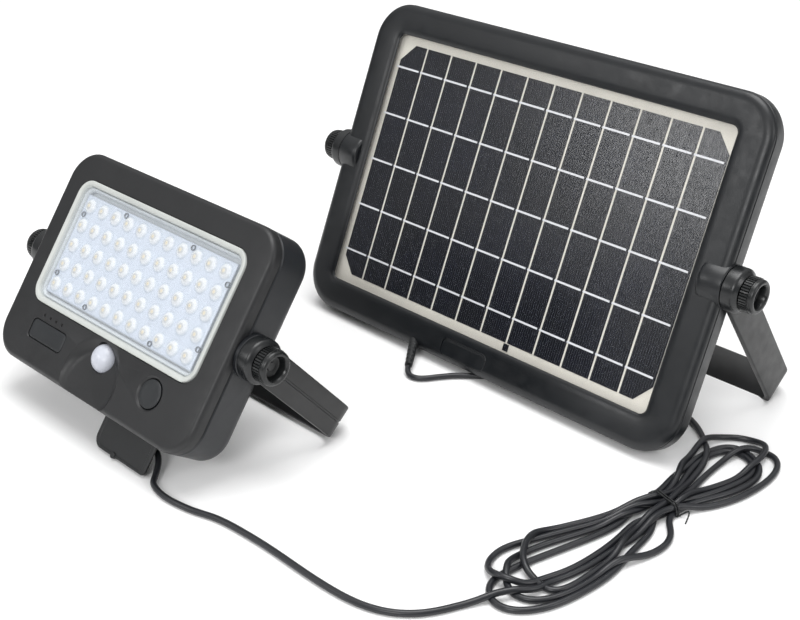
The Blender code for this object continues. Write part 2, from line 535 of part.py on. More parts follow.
def hank(look, tie_look, parent):
    """Outer shape of the tied loops, two round ends joined by a narrow waist, and the tie over the waist."""
    low, high = (Vector(end) for end in HANK_ENDS)
    along = (high - low).normalized()
    across = Vector((-along.y, along.x))
    waist = Vector(HANK_WAIST[:2])
    half = HANK_WAIST[2]
    inner, inner_top = half + 2 * GAP, HANK_THICK + GAP
    outer, outer_top = inner + TIE_THICK, inner_top + TIE_THICK
    staple = [(-outer, 0.2), (-inner, 0.2), (-inner, inner_top), (inner, inner_top), (inner, 0.2),
              (outer, 0.2), (outer, outer_top), (-outer, outer_top)]
    sides = [waist + along * shift for shift in (-TIE_WIDTH / 2, TIE_WIDTH / 2)]
    loft("cord_tie", [[Vector((*(middle + across * out), z)) for out, z in staple] for middle in sides],
         tie_look, parent)
    points = []
    for middle, radius, sign in ((high, HANK_END_RADIUS[1], 1), (low, HANK_END_RADIUS[0], -1)):
        for step in range(13):
            angle = math.radians(-100 + 200 * step / 12)
            points.append(middle + sign * radius * (along * math.cos(angle) + across * math.sin(angle)))
        points.append(waist + sign * across * half)
    loops = [[Vector((p.x, p.y, z)) for p in points] for z in (0.2, HANK_THICK)]
    return loft("cord_hank", loops, look, parent)


def lead(ground, looks):
    spacing = 8.5
    tube("cord_lamp_run", smooth(LAMP_RUN, spacing), CORD_RADIUS, looks["lead"], ground)
    tube("cord_panel_run", smooth(PANEL_RUN, spacing), CORD_RADIUS, looks["lead"], ground)
    tube("cable_boot", smooth(BOOT_ROUTE, 4.0), 3.3, looks["rubber"], ground, end_radius=2.4)
    hank(looks["lead"], looks["rubber"], ground)


# ---- assembly --------------------------------------------------------------------------------------
def build_lamp(ground, looks):
    head = empty("lamp_head", ground, LAMP_PLACE, 90 - LAMP_LEAN)
    lamp_case(head, looks)
    lamp_optics(head, looks)
    lamp_controls(head, looks)
    lamp_power(head, looks)
    lamp_port(head, looks)
    axis_y, axis_z = leaned(LAMP_PLACE, LAMP_LEAN, *LAMP_PIVOT)
    pivot = empty("lamp_bracket_pivot", ground, (LAMP_PLACE[0], axis_y, axis_z), LAMP_BRACKET_BACK)
    back = math.radians(LAMP_BRACKET_BACK)
    length = (axis_z - LAMP_STRAP[0] / 2 * math.sin(back)) / math.cos(back)
    bracket("lamp_bracket", pivot, LAMP_ARM_X, LAMP_STRAP, length, LAMP_WIDTH / 2 + 2.4 + GAP, LAMP_ARM_X,
            32.0, looks["case"])
    for side, axis in (("left", "-X"), ("right", "X")):
        knob(f"lamp_knob_{side}", head, LAMP_PIVOT, LAMP_ARM_X + GAP, 84.0, axis, looks["knob"])


def build_panel(ground, looks):
    lean = math.radians(PANEL_LEAN)
    foot = PANEL_HEIGHT / 2 - PANEL_MID_Y - 1.4
    place = (*PANEL_PLACE, foot * math.cos(lean) - PANEL_SIDE_END * math.sin(lean))
    head = empty("panel_head", ground, place, 90 - PANEL_LEAN)
    frame, rear = panel_case(head, looks)
    panel_laminate(head, looks)
    for cover, name in ((frame, "frame_cable_relief"), (rear, "rear_cable_relief")):
        cut(cover, block(name, (54, 60, 8), (17, -14, 0.4), None, ground))
    start, end = Vector(BOOT_ROUTE[0]), Vector(BOOT_ROUTE[-1])
    boot_room = rod("boot_room", 3.9, -2.0, (end - start).length, None, ground, start, steps=16)
    boot_room.rotation_euler = (end - start).to_track_quat("Z", "Y").to_euler()
    cut(frame, boot_room)
    axis_y, axis_z = leaned(place, PANEL_LEAN, *PANEL_PIVOT)
    pivot = empty("panel_bracket_pivot", ground, (place[0], axis_y, axis_z), PANEL_BRACKET_BACK)
    back = math.radians(PANEL_BRACKET_BACK)
    length = (axis_z - PANEL_STRAP[0] / 2 * math.sin(back)) / math.cos(back)
    bracket("panel_bracket", pivot, PANEL_ARM_X, PANEL_STRAP, length, PANEL_WIDTH / 2 + 0.1 + GAP, 158.0,
            45.0, looks["case"])
    for side, axis in (("left", "-X"), ("right", "X")):
        knob(f"panel_knob_{side}", head, PANEL_PIVOT, 158.3, 136.0, axis, looks["knob"])


def main():
    for old in list(bpy.data.objects):
        bpy.data.objects.remove(old, do_unlink=True)
    looks = {
        "case": material("charcoal_plastic", (0.042, 0.045, 0.048), 0.55),
        "knob": material("black_plastic", (0.022, 0.024, 0.026), 0.45),
        "button": material("black_button", (0.018, 0.020, 0.023), 0.50),
        "rubber": material("black_rubber", (0.020, 0.021, 0.023), 0.70),
        "lead": material("lead_jacket", (0.028, 0.029, 0.032), 0.45),
        "rim": material("light_grey_plastic", (0.56, 0.59, 0.56), 0.40),
        "clear": material("clear_polycarbonate", (0.85, 0.89, 0.93), 0.10),
        "white": material("white_plastic", (0.82, 0.83, 0.84), 0.45),
        "dome": material("milky_lens", (0.80, 0.81, 0.84), 0.35),
        "pipe": material("smoked_acrylic", (0.05, 0.05, 0.05), 0.20),
        "steel": material("plated_steel", (0.55, 0.55, 0.56), 0.30, 1.0),
        "board": material("circuit_board", (0.02, 0.11, 0.05), 0.50),
        "cell_wrap": material("cell_sleeve", (0.05, 0.16, 0.40), 0.40),
        "socket": material("socket_plastic", (0.015, 0.015, 0.016), 0.40),
        "cell": material("silicon_cell", (0.012, 0.014, 0.024), 0.30),
    }
    ground = empty("ground", None, (-SET_CENTRE[0], -SET_CENTRE[1], 0))
    build_lamp(ground, looks)
    build_panel(ground, looks)
    lead(ground, looks)


main()
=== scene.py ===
import json
import math

import bmesh
import bpy
import numpy as np
from mathutils import Matrix, Vector


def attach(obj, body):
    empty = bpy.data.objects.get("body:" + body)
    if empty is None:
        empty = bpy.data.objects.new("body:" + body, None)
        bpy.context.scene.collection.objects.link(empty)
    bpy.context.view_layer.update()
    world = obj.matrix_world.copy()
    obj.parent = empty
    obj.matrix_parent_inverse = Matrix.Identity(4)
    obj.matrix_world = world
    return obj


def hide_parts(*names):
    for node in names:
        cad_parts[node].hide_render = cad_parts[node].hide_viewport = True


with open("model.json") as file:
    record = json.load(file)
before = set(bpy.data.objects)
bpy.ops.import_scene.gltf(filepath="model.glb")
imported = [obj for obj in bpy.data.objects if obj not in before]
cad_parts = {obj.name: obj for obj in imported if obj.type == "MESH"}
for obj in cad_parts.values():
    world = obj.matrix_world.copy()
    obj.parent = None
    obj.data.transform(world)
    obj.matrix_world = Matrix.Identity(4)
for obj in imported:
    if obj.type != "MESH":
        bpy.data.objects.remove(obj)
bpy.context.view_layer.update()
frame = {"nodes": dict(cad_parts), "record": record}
MM = 0.001

# ---- places of the two heads, mm: x across, y up the face, z out of the face ------------------------
JOINTS = {joint["name"]: joint for joint in frame["record"]["behaviour"]["joints"]}
LAMP_LEAN, PANEL_LEAN = 36.6, 23.3              # how far each face leans back, degrees
LAMP_ARM_BACK, PANEL_ARM_BACK = 40.8, 36.5      # how far each bracket's arms lean back, degrees
LAMP_PIVOT, PANEL_PIVOT = (0.0, -10.0, -15.0), (0.0, 0.0, -5.0)
LED_PITCH, LED_SHIFT_X = 12.6, -1.2
LENS_WIDTH, LENS_HEIGHT, LENS_CORNER, LENS_MID_Y = 154.0, 79.2, 10.4, 0.65


def head_matrix(joint, lean, pivot):
    """Matrix of a leaned-back head from its tilt axis, for pieces drawn in metres in the head."""
    turn = Matrix.Rotation(math.radians(90 - lean), 4, "X")
    axis = Vector(JOINTS[joint]["pos_m"])
    return Matrix.Translation(axis - turn.to_3x3() @ (Vector(pivot) * MM)) @ turn


def bracket_matrix(joint, back):
    return Matrix.Translation(Vector(JOINTS[joint]["pos_m"])) @ Matrix.Rotation(math.radians(back), 4, "X")


LAMP = head_matrix("lamp_tilt", LAMP_LEAN, LAMP_PIVOT)
PANEL = head_matrix("panel_tilt", PANEL_LEAN, PANEL_PIVOT)
LAMP_ARM = bracket_matrix("lamp_tilt", LAMP_ARM_BACK)
PANEL_ARM = bracket_matrix("panel_tilt", PANEL_ARM_BACK)
FLOOR = Matrix.Identity(4)


# ---- node materials --------------------------------------------------------------------------------
class Look:
    """A Principled material with helpers for procedural detail, in object metres."""

    def __init__(self, name, rgb, roughness, metallic=0.0, **sockets):
        self.material = bpy.data.materials.new(name)
        self.material.use_nodes = True
        self.tree = self.material.node_tree
        self.shader = self.tree.nodes["Principled BSDF"]
        self.set("Base Color", (*rgb, 1.0))
        self.set("Roughness", roughness)
        self.set("Metallic", metallic)
        for key, value in sockets.items():
            self.set(key.replace("_", " ").title().replace("Ior", "IOR"), value)
        self.place = self.tree.nodes.new("ShaderNodeTexCoord").outputs["Object"]
        self.last_bump = None

    def set(self, name, value):
        self.shader.inputs[name].default_value = value

    def node(self, kind, **values):
        made = self.tree.nodes.new(kind)
        for key, value in values.items():
            setattr(made, key, value)
        return made

    def link(self, a, b):
        self.tree.links.new(a, b)

    def noise(self, size_mm, detail=2.0, rough=0.5):
        made = self.node("ShaderNodeTexNoise")
        made.inputs["Scale"].default_value = 1000.0 / size_mm
        made.inputs["Detail"].default_value = detail
        made.inputs["Roughness"].default_value = rough
        self.link(self.place, made.inputs["Vector"])
        return made.outputs["Fac"]

    def ranged(self, source, low, high, from_low=0.3, from_high=0.7):
        made = self.node("ShaderNodeMapRange")
        limits = (("From Min", from_low), ("From Max", from_high), ("To Min", low), ("To Max", high))
        for name, value in limits:
            made.inputs[name].default_value = value
        self.link(source, made.inputs["Value"])
        return made.outputs["Result"]

    def colour(self, source, low, high):
        """Run the base colour between two colours by a 0..1 value."""
        made = self.node("ShaderNodeMix", data_type="RGBA")
        made.inputs[6].default_value = (*low, 1.0)
        made.inputs[7].default_value = (*high, 1.0)
        self.link(source, made.inputs[0])
        self.link(made.outputs[2], self.shader.inputs["Base Color"])
        return made.outputs[2]

    def gloss(self, source, low, high):
        """Run the roughness between two values by a noise."""
        self.link(self.ranged(source, low, high), self.shader.inputs["Roughness"])

    def ramp(self, source, stops):
        """Base colour by a 0..1 value through (value, colour) stops."""
        made = self.node("ShaderNodeValToRGB")
        for index, (value, rgb) in enumerate(stops):
            stop = made.color_ramp.elements[index] if index < 2 else made.color_ramp.elements.new(value)
            stop.position = value
            stop.color = (*rgb, 1.0)
        self.link(source, made.inputs[0])
        self.link(made.outputs[0], self.shader.inputs["Base Color"])

    def bump(self, source, depth_mm, strength=1.0):
        made = self.node("ShaderNodeBump")
        made.inputs["Strength"].default_value = strength
        made.inputs["Distance"].default_value = depth_mm * MM
        self.link(source, made.inputs["Height"])
        if self.last_bump is not None:
            self.link(self.last_bump, made.inputs["Normal"])
        self.link(made.outputs["Normal"], self.shader.inputs["Normal"])
        self.last_bump = made.outputs["Normal"]

    def math(self, operation, a, b=None, c=None):
        made = self.node("ShaderNodeMath", operation=operation)
        for socket, value in zip(made.inputs, (a, b, c)):
            if value is None:
                continue
            if isinstance(value, (int, float)):
                socket.default_value = value
            else:
                self.link(value, socket)
        return made.outputs[0]

    def axes(self):
        made = self.node("ShaderNodeSeparateXYZ")
        self.link(self.place, made.inputs[0])
        return made.outputs


def moulded(name, rgb, roughness, grain_mm=0.5, depth_mm=0.02, drift=0.12, **sockets):
    """Moulded plastic or rubber: spark-eroded grain, uneven gloss and slow colour drift."""
    look = Look(name, rgb, roughness, **sockets)
    slow = look.noise(26, 3)
    look.colour(look.ranged(slow, 0, 1), [c * (1 - drift) for c in rgb], [c * (1 + drift) for c in rgb])
    look.gloss(look.noise(7, 4), roughness - 0.05, roughness + 0.06)
    look.bump(look.noise(grain_mm, 3, 0.6), depth_mm)
    look.bump(look.noise(9, 1), depth_mm * 2)
    return look.material


def metal(name, rgb, roughness):
    look = Look(name, rgb, roughness, 1.0)
    look.gloss(look.noise(1.2, 4), roughness - 0.08, roughness + 0.12)
    look.bump(look.noise(0.4, 2), 0.01)
    return look.material


FINGER_PITCH, FINGER_SHARE = 1.6, 0.16


def solar_cell():
    """Blue-black silicon with thin silver fingers along the strip, under glass."""
    look = Look("solar_cell", (0.008, 0.010, 0.016), 0.30)
    x = look.axes()[0]
    turn = look.math("FRACT", look.math("MULTIPLY", x, 1000.0 / FINGER_PITCH))
    finger = look.math("LESS_THAN", turn, FINGER_SHARE)
    body = look.node("ShaderNodeMix", data_type="RGBA")
    body.inputs[6].default_value = (0.0020, 0.0022, 0.0032, 1)
    body.inputs[7].default_value = (0.003, 0.004, 0.010, 1)
    look.link(look.ranged(look.noise(60, 2), 0, 1), body.inputs[0])
    mixed = look.node("ShaderNodeMix", data_type="RGBA")
    mixed.inputs[7].default_value = (0.042, 0.043, 0.050, 1)
    look.link(body.outputs[2], mixed.inputs[6])
    look.link(finger, mixed.inputs[0])
    look.link(mixed.outputs[2], look.shader.inputs["Base Color"])
    look.gloss(look.noise(4, 3), 0.20, 0.28)
    return look.material


def led_lens():
    """Frosted lens plate: white domes, each with a warm chip in a thin grey ring."""
    look = Look("led_lens", (0.80, 0.86, 0.95), 0.22)
    axes = look.axes()
    offsets = []
    for axis, shift in ((axes[0], LED_SHIFT_X), (axes[1], 0.0)):
        count = look.math("MULTIPLY_ADD", axis, 1000.0 / LED_PITCH, 100.5 - shift / LED_PITCH)
        cell = look.math("FRACT", count)
        offsets.append(look.math("POWER", look.math("SUBTRACT", cell, 0.5), 2.0))
    distance = look.math("SQRT", look.math("ADD", offsets[0], offsets[1]))
    look.ramp(distance, ((0.00, (0.62, 0.54, 0.38)), (0.07, (0.64, 0.60, 0.49)), (0.11, (0.44, 0.45, 0.45)),
                         (0.14, (0.47, 0.48, 0.48)), (0.19, (0.66, 0.67, 0.67)), (0.30, (0.68, 0.70, 0.72)),
                         (0.37, (0.50, 0.55, 0.62)), (0.46, (0.55, 0.60, 0.68))))
    look.gloss(look.noise(3, 2), 0.16, 0.30)
    return look.material


def clear(name, rgb, alpha, roughness):
    look = Look(name, rgb, roughness, alpha=alpha)
    look.material.surface_render_method = "BLENDED"
    look.gloss(look.noise(12, 2), roughness, roughness + 0.05)
    look.bump(look.noise(40, 1), 0.01)
    return look.material


LOOKS = {
    "case": moulded("charcoal_plastic", (0.010, 0.0105, 0.0115), 0.46),
    "side": moulded("charcoal_side", (0.010, 0.0115, 0.014), 0.38),
    "panel": moulded("slate_plastic", (0.006, 0.0073, 0.0090), 0.36, 0.8),
    "knob": moulded("black_plastic", (0.007, 0.008, 0.0085), 0.30, 0.8),
    "strap": moulded("strap_plastic", (0.007, 0.0073, 0.0078), 0.42),
    "hub": moulded("hub_plastic", (0.008, 0.009, 0.010), 0.30, 0.8),
    "button": moulded("button_plastic", (0.010, 0.012, 0.014), 0.48),
    "rubber": moulded("black_rubber", (0.009, 0.010, 0.011), 0.46, 0.7, 0.03),
    "lead": moulded("lead_jacket", (0.012, 0.013, 0.016), 0.34, 1.4, 0.03),
    "rim": moulded("light_grey_plastic", (0.50, 0.52, 0.50), 0.42, 0.6, 0.01, 0.05),
    "white": moulded("white_reflector", (0.52, 0.55, 0.56), 0.35, 0.6, 0.01, 0.03),
    "sheet": moulded("white_back_sheet", (0.80, 0.77, 0.69), 0.50, 0.4, 0.01, 0.04),
    "dome": moulded("milky_lens", (0.52, 0.54, 0.60), 0.30, 1.2, 0.02, 0.03),
    "pipe": moulded("smoked_acrylic", (0.004, 0.004, 0.004), 0.25, 1.0, 0.01),
    "board": moulded("circuit_board", (0.012, 0.09, 0.035), 0.45, 2.5, 0.05, 0.3),
    "wrap": moulded("cell_sleeve", (0.05, 0.16, 0.40), 0.35, 3.0, 0.02),
    "steel": metal("plated_steel", (0.55, 0.55, 0.56), 0.30),
    "ribbon": moulded("tinned_ribbon", (0.78, 0.79, 0.82), 0.35, 0.5, 0.01, 0.04),
    "cell": solar_cell(),
    "lens": led_lens(),
    "screw": metal("grey_screw", (0.16, 0.17, 0.18), 0.35),
    "window": clear("clear_window", (0.80, 0.86, 0.94), 0.10, 0.04),
    "glass": clear("clear_glass", (0.10, 0.11, 0.13), 0.04, 0.20),
}


# ---- building blocks, mm in a head's own frame -----------------------------------------------------
def outline(width, height, corner, z, mid=(0.0, 0.0), steps=14):
    points = []
    for sign_x, sign_y, start in ((1, 1, 0), (-1, 1, 90), (-1, -1, 180), (1, -1, 270)):
        for step in range(steps + 1):
            angle = math.radians(start + 90 * step / steps)
            points.append(Vector((mid[0] + sign_x * (width / 2 - corner) + corner * math.cos(angle),
                                  mid[1] + sign_y * (height / 2 - corner) + corner * math.sin(angle), z)))
    return points


def rounded(start, end, steps=5):
    """Quarter round from one (along, out) point to another, leaving the first along its second axis."""
    (a0, b0), (a1, b1) = start, end
    return [(a0 + (a1 - a0) * math.sin(math.pi / 2 * i / steps),
             b0 + (b1 - b0) * (1 - math.cos(math.pi / 2 * i / steps))) for i in range(steps + 1)]


def mesh_object(name, bm, place, look, sharp=32):
    bmesh.ops.remove_doubles(bm, verts=bm.verts, dist=0.000004)
    bmesh.ops.recalc_face_normals(bm, faces=bm.faces)
    mesh = bpy.data.meshes.new(name)
    bm.to_mesh(mesh)
    bm.free()
    mesh.shade_smooth()
    mesh.set_sharp_from_angle(angle=math.radians(sharp))
    made = bpy.data.objects.new(name, mesh)
    bpy.context.scene.collection.objects.link(made)
    made.matrix_world = place
    if look:
        mesh.materials.append(LOOKS[look])
    return made


def loft(name, loops, look, place, ring=False, sharp=32):
    bm = bmesh.new()
    rows = [[bm.verts.new(point * MM) for point in loop] for loop in loops]
    count = len(rows[0])
    for low, high in list(zip(rows, rows[1:])) + ([(rows[-1], rows[0])] if ring else []):
        for i in range(count):
            j = (i + 1) % count
            bm.faces.new((low[i], low[j], high[j], high[i]))
    if not ring:
        bm.faces.new(rows[0])
        bm.faces.new(rows[-1])
    return mesh_object(name, bm, place, look, sharp)


TURNS = {"X": Matrix.Rotation(math.radians(90), 4, "Y"), "-X": Matrix.Rotation(math.radians(-90), 4, "Y"),
         "-Y": Matrix.Rotation(math.radians(90), 4, "X"), "Z": Matrix.Identity(4)}


def turned(name, profile, look, place, location=(0, 0, 0), axis="Z", steps=64, ring=False, ripple=None):
    """Turn (along, radius) points about the axis; ripple(angle, along, radius) may change a radius."""
    bm = bmesh.new()
    rows = []
    for along, radius in profile:
        if radius == 0:
            rows.append([bm.verts.new((0, 0, along * MM))])
            continue
        row = []
        for i in range(steps):
            a = 2 * math.pi * i / steps
            r = ripple(a, along, radius) if ripple else radius
            row.append(bm.verts.new((r * MM * math.cos(a), r * MM * math.sin(a), along * MM)))
        rows.append(row)
    for low, high in list(zip(rows, rows[1:])) + ([(rows[-1], rows[0])] if ring else []):
        if len(low) == len(high) == 1:
            continue
        for i in range(steps):
            j = (i + 1) % steps
            corners = [low[i % len(low)], low[j % len(low)], high[j % len(high)], high[i % len(high)]]
            bm.faces.new(list(dict.fromkeys(corners)))
    for row in ([] if ring else (rows[0], rows[-1])):
        if len(row) > 1:
            bm.faces.new(row)
    bmesh.ops.transform(bm, matrix=Matrix.Translation(Vector(location) * MM) @ TURNS[axis], verts=bm.verts)
    return mesh_object(name, bm, place, look)


def block(name, size, middle, look, place, soften=0.0):
    bm = bmesh.new()
    bmesh.ops.create_cube(bm, size=1.0)
    bmesh.ops.scale(bm, vec=Vector(size) * MM, verts=bm.verts)
    bmesh.ops.translate(bm, vec=Vector(middle) * MM, verts=bm.verts)
    if soften:
        bmesh.ops.bevel(bm, geom=bm.edges, offset=soften * MM, segments=3, affect="EDGES", profile=0.5)
    return mesh_object(name, bm, place, look)


def carve(target, *cutters, operation="DIFFERENCE"):
    """Cut or join with helper objects at once, so that no modifier and no helper is left."""
    for cutter in cutters:
        modifier = target.modifiers.new("carve", "BOOLEAN")
        modifier.object, modifier.operation, modifier.solver = cutter, operation, "EXACT"
    bpy.context.view_layer.update()
    result = bpy.data.meshes.new_from_object(target.evaluated_get(bpy.context.evaluated_depsgraph_get()))
    target.modifiers.clear()
    target.data = result
    result.shade_smooth()
    result.set_sharp_from_angle(angle=math.radians(32))
    for cutter in cutters:
        bpy.data.objects.remove(cutter)


def keep(piece, body, slot, *nodes):
    """Hand a finished piece to its body, standing for these CAD nodes."""
    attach(piece, body)
    if nodes:
        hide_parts(*nodes)
    return piece


def wire(name, points, radius, look, place=FLOOR, cyclic=False, sides=4):
    curve = bpy.data.curves.new(name, "CURVE")
    curve.dimensions = "3D"
    curve.bevel_depth = radius * MM
    curve.bevel_resolution = sides
    curve.use_fill_caps = True
    spline = curve.splines.new("POLY")
    spline.points.add(len(points) - 1)
    for index, point in enumerate(points):
        spline.points[index].co = (*(Vector(point) * MM), 1.0)
    spline.use_cyclic_u = cyclic
    curve.materials.append(LOOKS[look])
    made = bpy.data.objects.new(name, curve)
    bpy.context.scene.collection.objects.link(made)
    made.matrix_world = place
    return made


# ---- camera ----------------------------------------------------------------------------------------
def camera():
    data = bpy.data.cameras.new("camera")
    data.lens, data.sensor_width, data.sensor_fit = 60.93, 36.0, "HORIZONTAL"
    data.clip_start, data.clip_end = 0.01, 50.0
    made = bpy.data.objects.new("camera", data)
    bpy.context.scene.collection.objects.link(made)
    made.location = (0.5055, -0.5077, 0.430)
    made.rotation_euler = (math.radians(90 - 27.75), 0, math.radians(44.24))
    bpy.context.scene.camera = made


# ---- lead ------------------------------------------------------------------------------------------
# The points that show were picked on the photo and brought down to the floor, those behind the
# panel are guessed, and all were adjusted.
CORD_RADIUS, REST = 1.8, 1.9                    # REST is the height of a strand that lies on the floor
LAMP_RUN = [(-34.2, -150.8, 9.2), (-29.9, -151.1, 8.7), (-25.5, -154.2, 5.8), (-21.5, -159.2, 2.9),
            (-15.7, -165.0, REST), (-1.9, -167.6, REST), (16.2, -165.3, REST), (34.0, -160.2, REST),
            (53.6, -158.2, REST), (75.7, -157.6, REST), (100.0, -158.2, REST), (119.0, -157.8, REST),
            (134.5, -156.2, REST), (147.2, -152.0, REST), (158.3, -144.2, REST), (166.5, -133.0, REST),
            (172.1, -119.2, REST)]
PANEL_RUN = [(174.9, 82.2, REST), (163.9, 91.6, REST), (156.8, 96.0, REST), (141.9, 100.4, REST),
             (123.9, 99.8, REST), (103.9, 92.8, REST), (83.9, 81.8, REST), (64.9, 68.8, REST),
             (46.9, 55.8, REST), (33.4, 45.4, REST), (23.5, 36.4, REST), (17.1, 28.0, REST),
             (12.7, 21.4, REST), (9.0, 18.0, REST), (4.7, 16.8, REST), (0.7, 17.9, 2.6), (-2.7, 21.2, 3.6)]
TIE = Vector((194.4, 13.9, 0.0))
TIE_ALONG, TIE_ACROSS = Vector((0.24, 0.97, 0)).normalized(), Vector((0.97, -0.24, 0)).normalized()
# where each pass through the tie lies: across it, and its height
TIE_SLOTS = [(5.5, 5.1), (-1.8, 5.1), (3.7, 1.9), (-3.7, 1.9), (7.4, 1.9),
             (-7.4, 1.9), (0.0, 1.9), (-5.5, 5.1), (1.8, 5.1)]
# loops by turns: on the right of the tie then on the left, each with the height it is laid at
HANK = [
    (3.0, [(209.4, 22.9), (216.4, 36.9), (221.4, 54.9), (222.0, 72.9), (221.6, 83.5), (217.6, 91.9),
           (208.9, 95.8), (199.8, 91.7), (195.4, 82.5), (194.4, 69.9), (195.4, 48.9), (196.4, 30.9)]),
    (4.5, [(181.4, -15.1), (170.4, -42.1), (163.4, -55.1), (157.4, -72.1), (156.6, -84.0), (161.0, -93.2),
           (170.4, -97.4), (179.8, -94.2), (186.4, -85.1), (190.4, -72.1), (194.4, -53.1), (195.4, -25.1)]),
    (5.0, [(199.4, 28.9), (206.4, 51.9), (211.4, 67.9), (210.9, 83.9), (205.4, 95.9), (194.4, 100.9),
           (183.4, 96.9), (178.4, 82.9), (179.4, 64.9), (182.4, 48.9), (188.4, 30.9)]),
    (3.5, [(183.4, -21.1), (174.4, -46.1), (169.4, -60.1), (166.4, -72.1), (167.4, -84.1), (172.4, -93.1),
           (181.4, -98.1), (190.4, -97.1), (198.4, -91.1), (202.4, -80.1), (204.4, -64.1), (206.4, -46.1),
           (211.4, -32.1), (215.4, -21.1), (214.9, -10.1), (210.4, -0.1)]),
    (3.0, [(204.4, 24.9), (212.4, 42.9), (216.9, 56.9), (215.4, 72.9), (207.9, 84.9), (197.4, 89.4),
           (187.6, 87.0), (183.0, 76.0), (182.4, 58.9), (184.4, 40.9)]),
    (2.0, [(185.4, -29.1), (177.4, -58.1), (173.4, -80.1), (170.4, -92.1), (171.4, -102.1), (177.4, -108.6),
           (186.4, -110.1), (194.4, -106.6), (200.4, -97.6), (205.4, -84.1), (207.4, -63.1), (206.4, -38.1),
           (202.4, -13.1)]),
    (2.5, [(202.4, 27.9), (209.4, 47.9), (212.6, 62.9), (211.9, 74.0), (206.9, 82.1), (198.4, 85.6),
           (189.8, 82.1), (185.0, 73.4), (185.4, 50.9), (188.4, 34.9)]),
    (7.0, [(180.4, -13.1), (167.4, -41.1), (162.8, -56.1), (167.4, -70.6), (177.4, -80.6), (189.4, -83.4),
           (199.4, -77.6), (203.2, -65.1), (202.4, -48.1), (198.4, -29.1)]),
]
HANK_IN = [(176.9, -110.6, 4.5), (182.9, -100.1, 7.0), (189.4, -87.1, 7.5), (193.9, -72.1, 7.0),
           (196.9, -54.1, 6.5), (198.4, -31.1, 6.0), (198.9, -9.1, 5.5)]
HANK_OUT = [(193.9, 29.9, 8.5), (190.9, 46.9, 8.0), (186.9, 62.9, 7.5), (180.9, 74.9, 4.5)]


def through_tie(index, forward):
    """Three points of one straight pass through the tie."""
    across, height = TIE_SLOTS[index]
    made = []
    for along in ((-9, 0, 9) if forward else (9, 0, -9)):
        p = TIE + TIE_ACROSS * across + TIE_ALONG * along
        made.append((p.x, p.y, height))
    return made


def smooth(points, spacing):
    """Catmull-Rom curve through the points, read off at even spacing."""
    knots = [Vector(p) for p in points]
    knots = [2 * knots[0] - knots[1]] + knots + [2 * knots[-1] - knots[-2]]
    fine = []
    for a, b, c, d in zip(knots, knots[1:], knots[2:], knots[3:]):
        for step in range(24):
            t = step / 24
            fine.append(0.5 * (2 * b + (c - a) * t + (2 * a - 5 * b + 4 * c - d) * t * t
                               + (3 * b - a - 3 * c + d) * t ** 3))
    fine.append(knots[-2])
    line = np.array(fine)
    return even(line, spacing)


def even(line, spacing):
    along = np.concatenate(([0.0], np.cumsum(np.linalg.norm(np.diff(line, axis=0), axis=1))))
    at = np.linspace(0, along[-1], max(2, round(along[-1] / spacing)) + 1)
    return np.stack([np.interp(at, along, line[:, k]) for k in range(3)], axis=1)


START, END, EASE = 24, 34, 12                   # samples at the ends that stay, and that ease into moving
STIFF, EASING, PULL, WEIGHT = 0.08, 0.04, 0.02, 0.12
FREE_ROUNDS = 25                                # the last rounds, without pull or weight


def settle(line, rounds=170, thick=3.72):
    """Let the lead lie on itself: strands push apart, bends ease and weight brings it down."""
    plan = line.copy()
    count = len(line)
    held = np.ones((count, 1))
    held[:START] = held[-END:] = 0.0
    held[START:START + EASE, 0] = np.linspace(0, 1, EASE)
    held[-END - EASE:-END, 0] = np.linspace(1, 0, EASE)
    near = np.abs(np.subtract.outer(np.arange(count), np.arange(count))) <= 3
    for turn in range(rounds):
        late = turn >= rounds - FREE_ROUNDS
        move = np.zeros_like(line)
        move[2:-2] -= STIFF * (line[:-4] - 4 * line[1:-3] + 6 * line[2:-2] - 4 * line[3:-1] + line[4:])
        move[1:-1] += EASING * ((line[:-2] + line[2:]) / 2 - line[1:-1])
        move[:, :2] += (0.0 if late else PULL) * (plan - line)[:, :2]
        move[:, 2] -= 0.0 if late else WEIGHT
        line = line + move * held
        for _ in range(3):
            apart = line[:, None, :] - line[None, :, :]
            far = np.sqrt((apart ** 2).sum(2)) + 1e-6
            push = np.where((far < thick) & ~near, (thick - far) / far, 0.0)
            shift = (apart * push[:, :, None]).sum(1) / np.maximum(1, (push > 0).sum(1))[:, None]
            line = line + 0.5 * shift * held
            line[:, 2] = np.maximum(line[:, 2], REST)
    return line


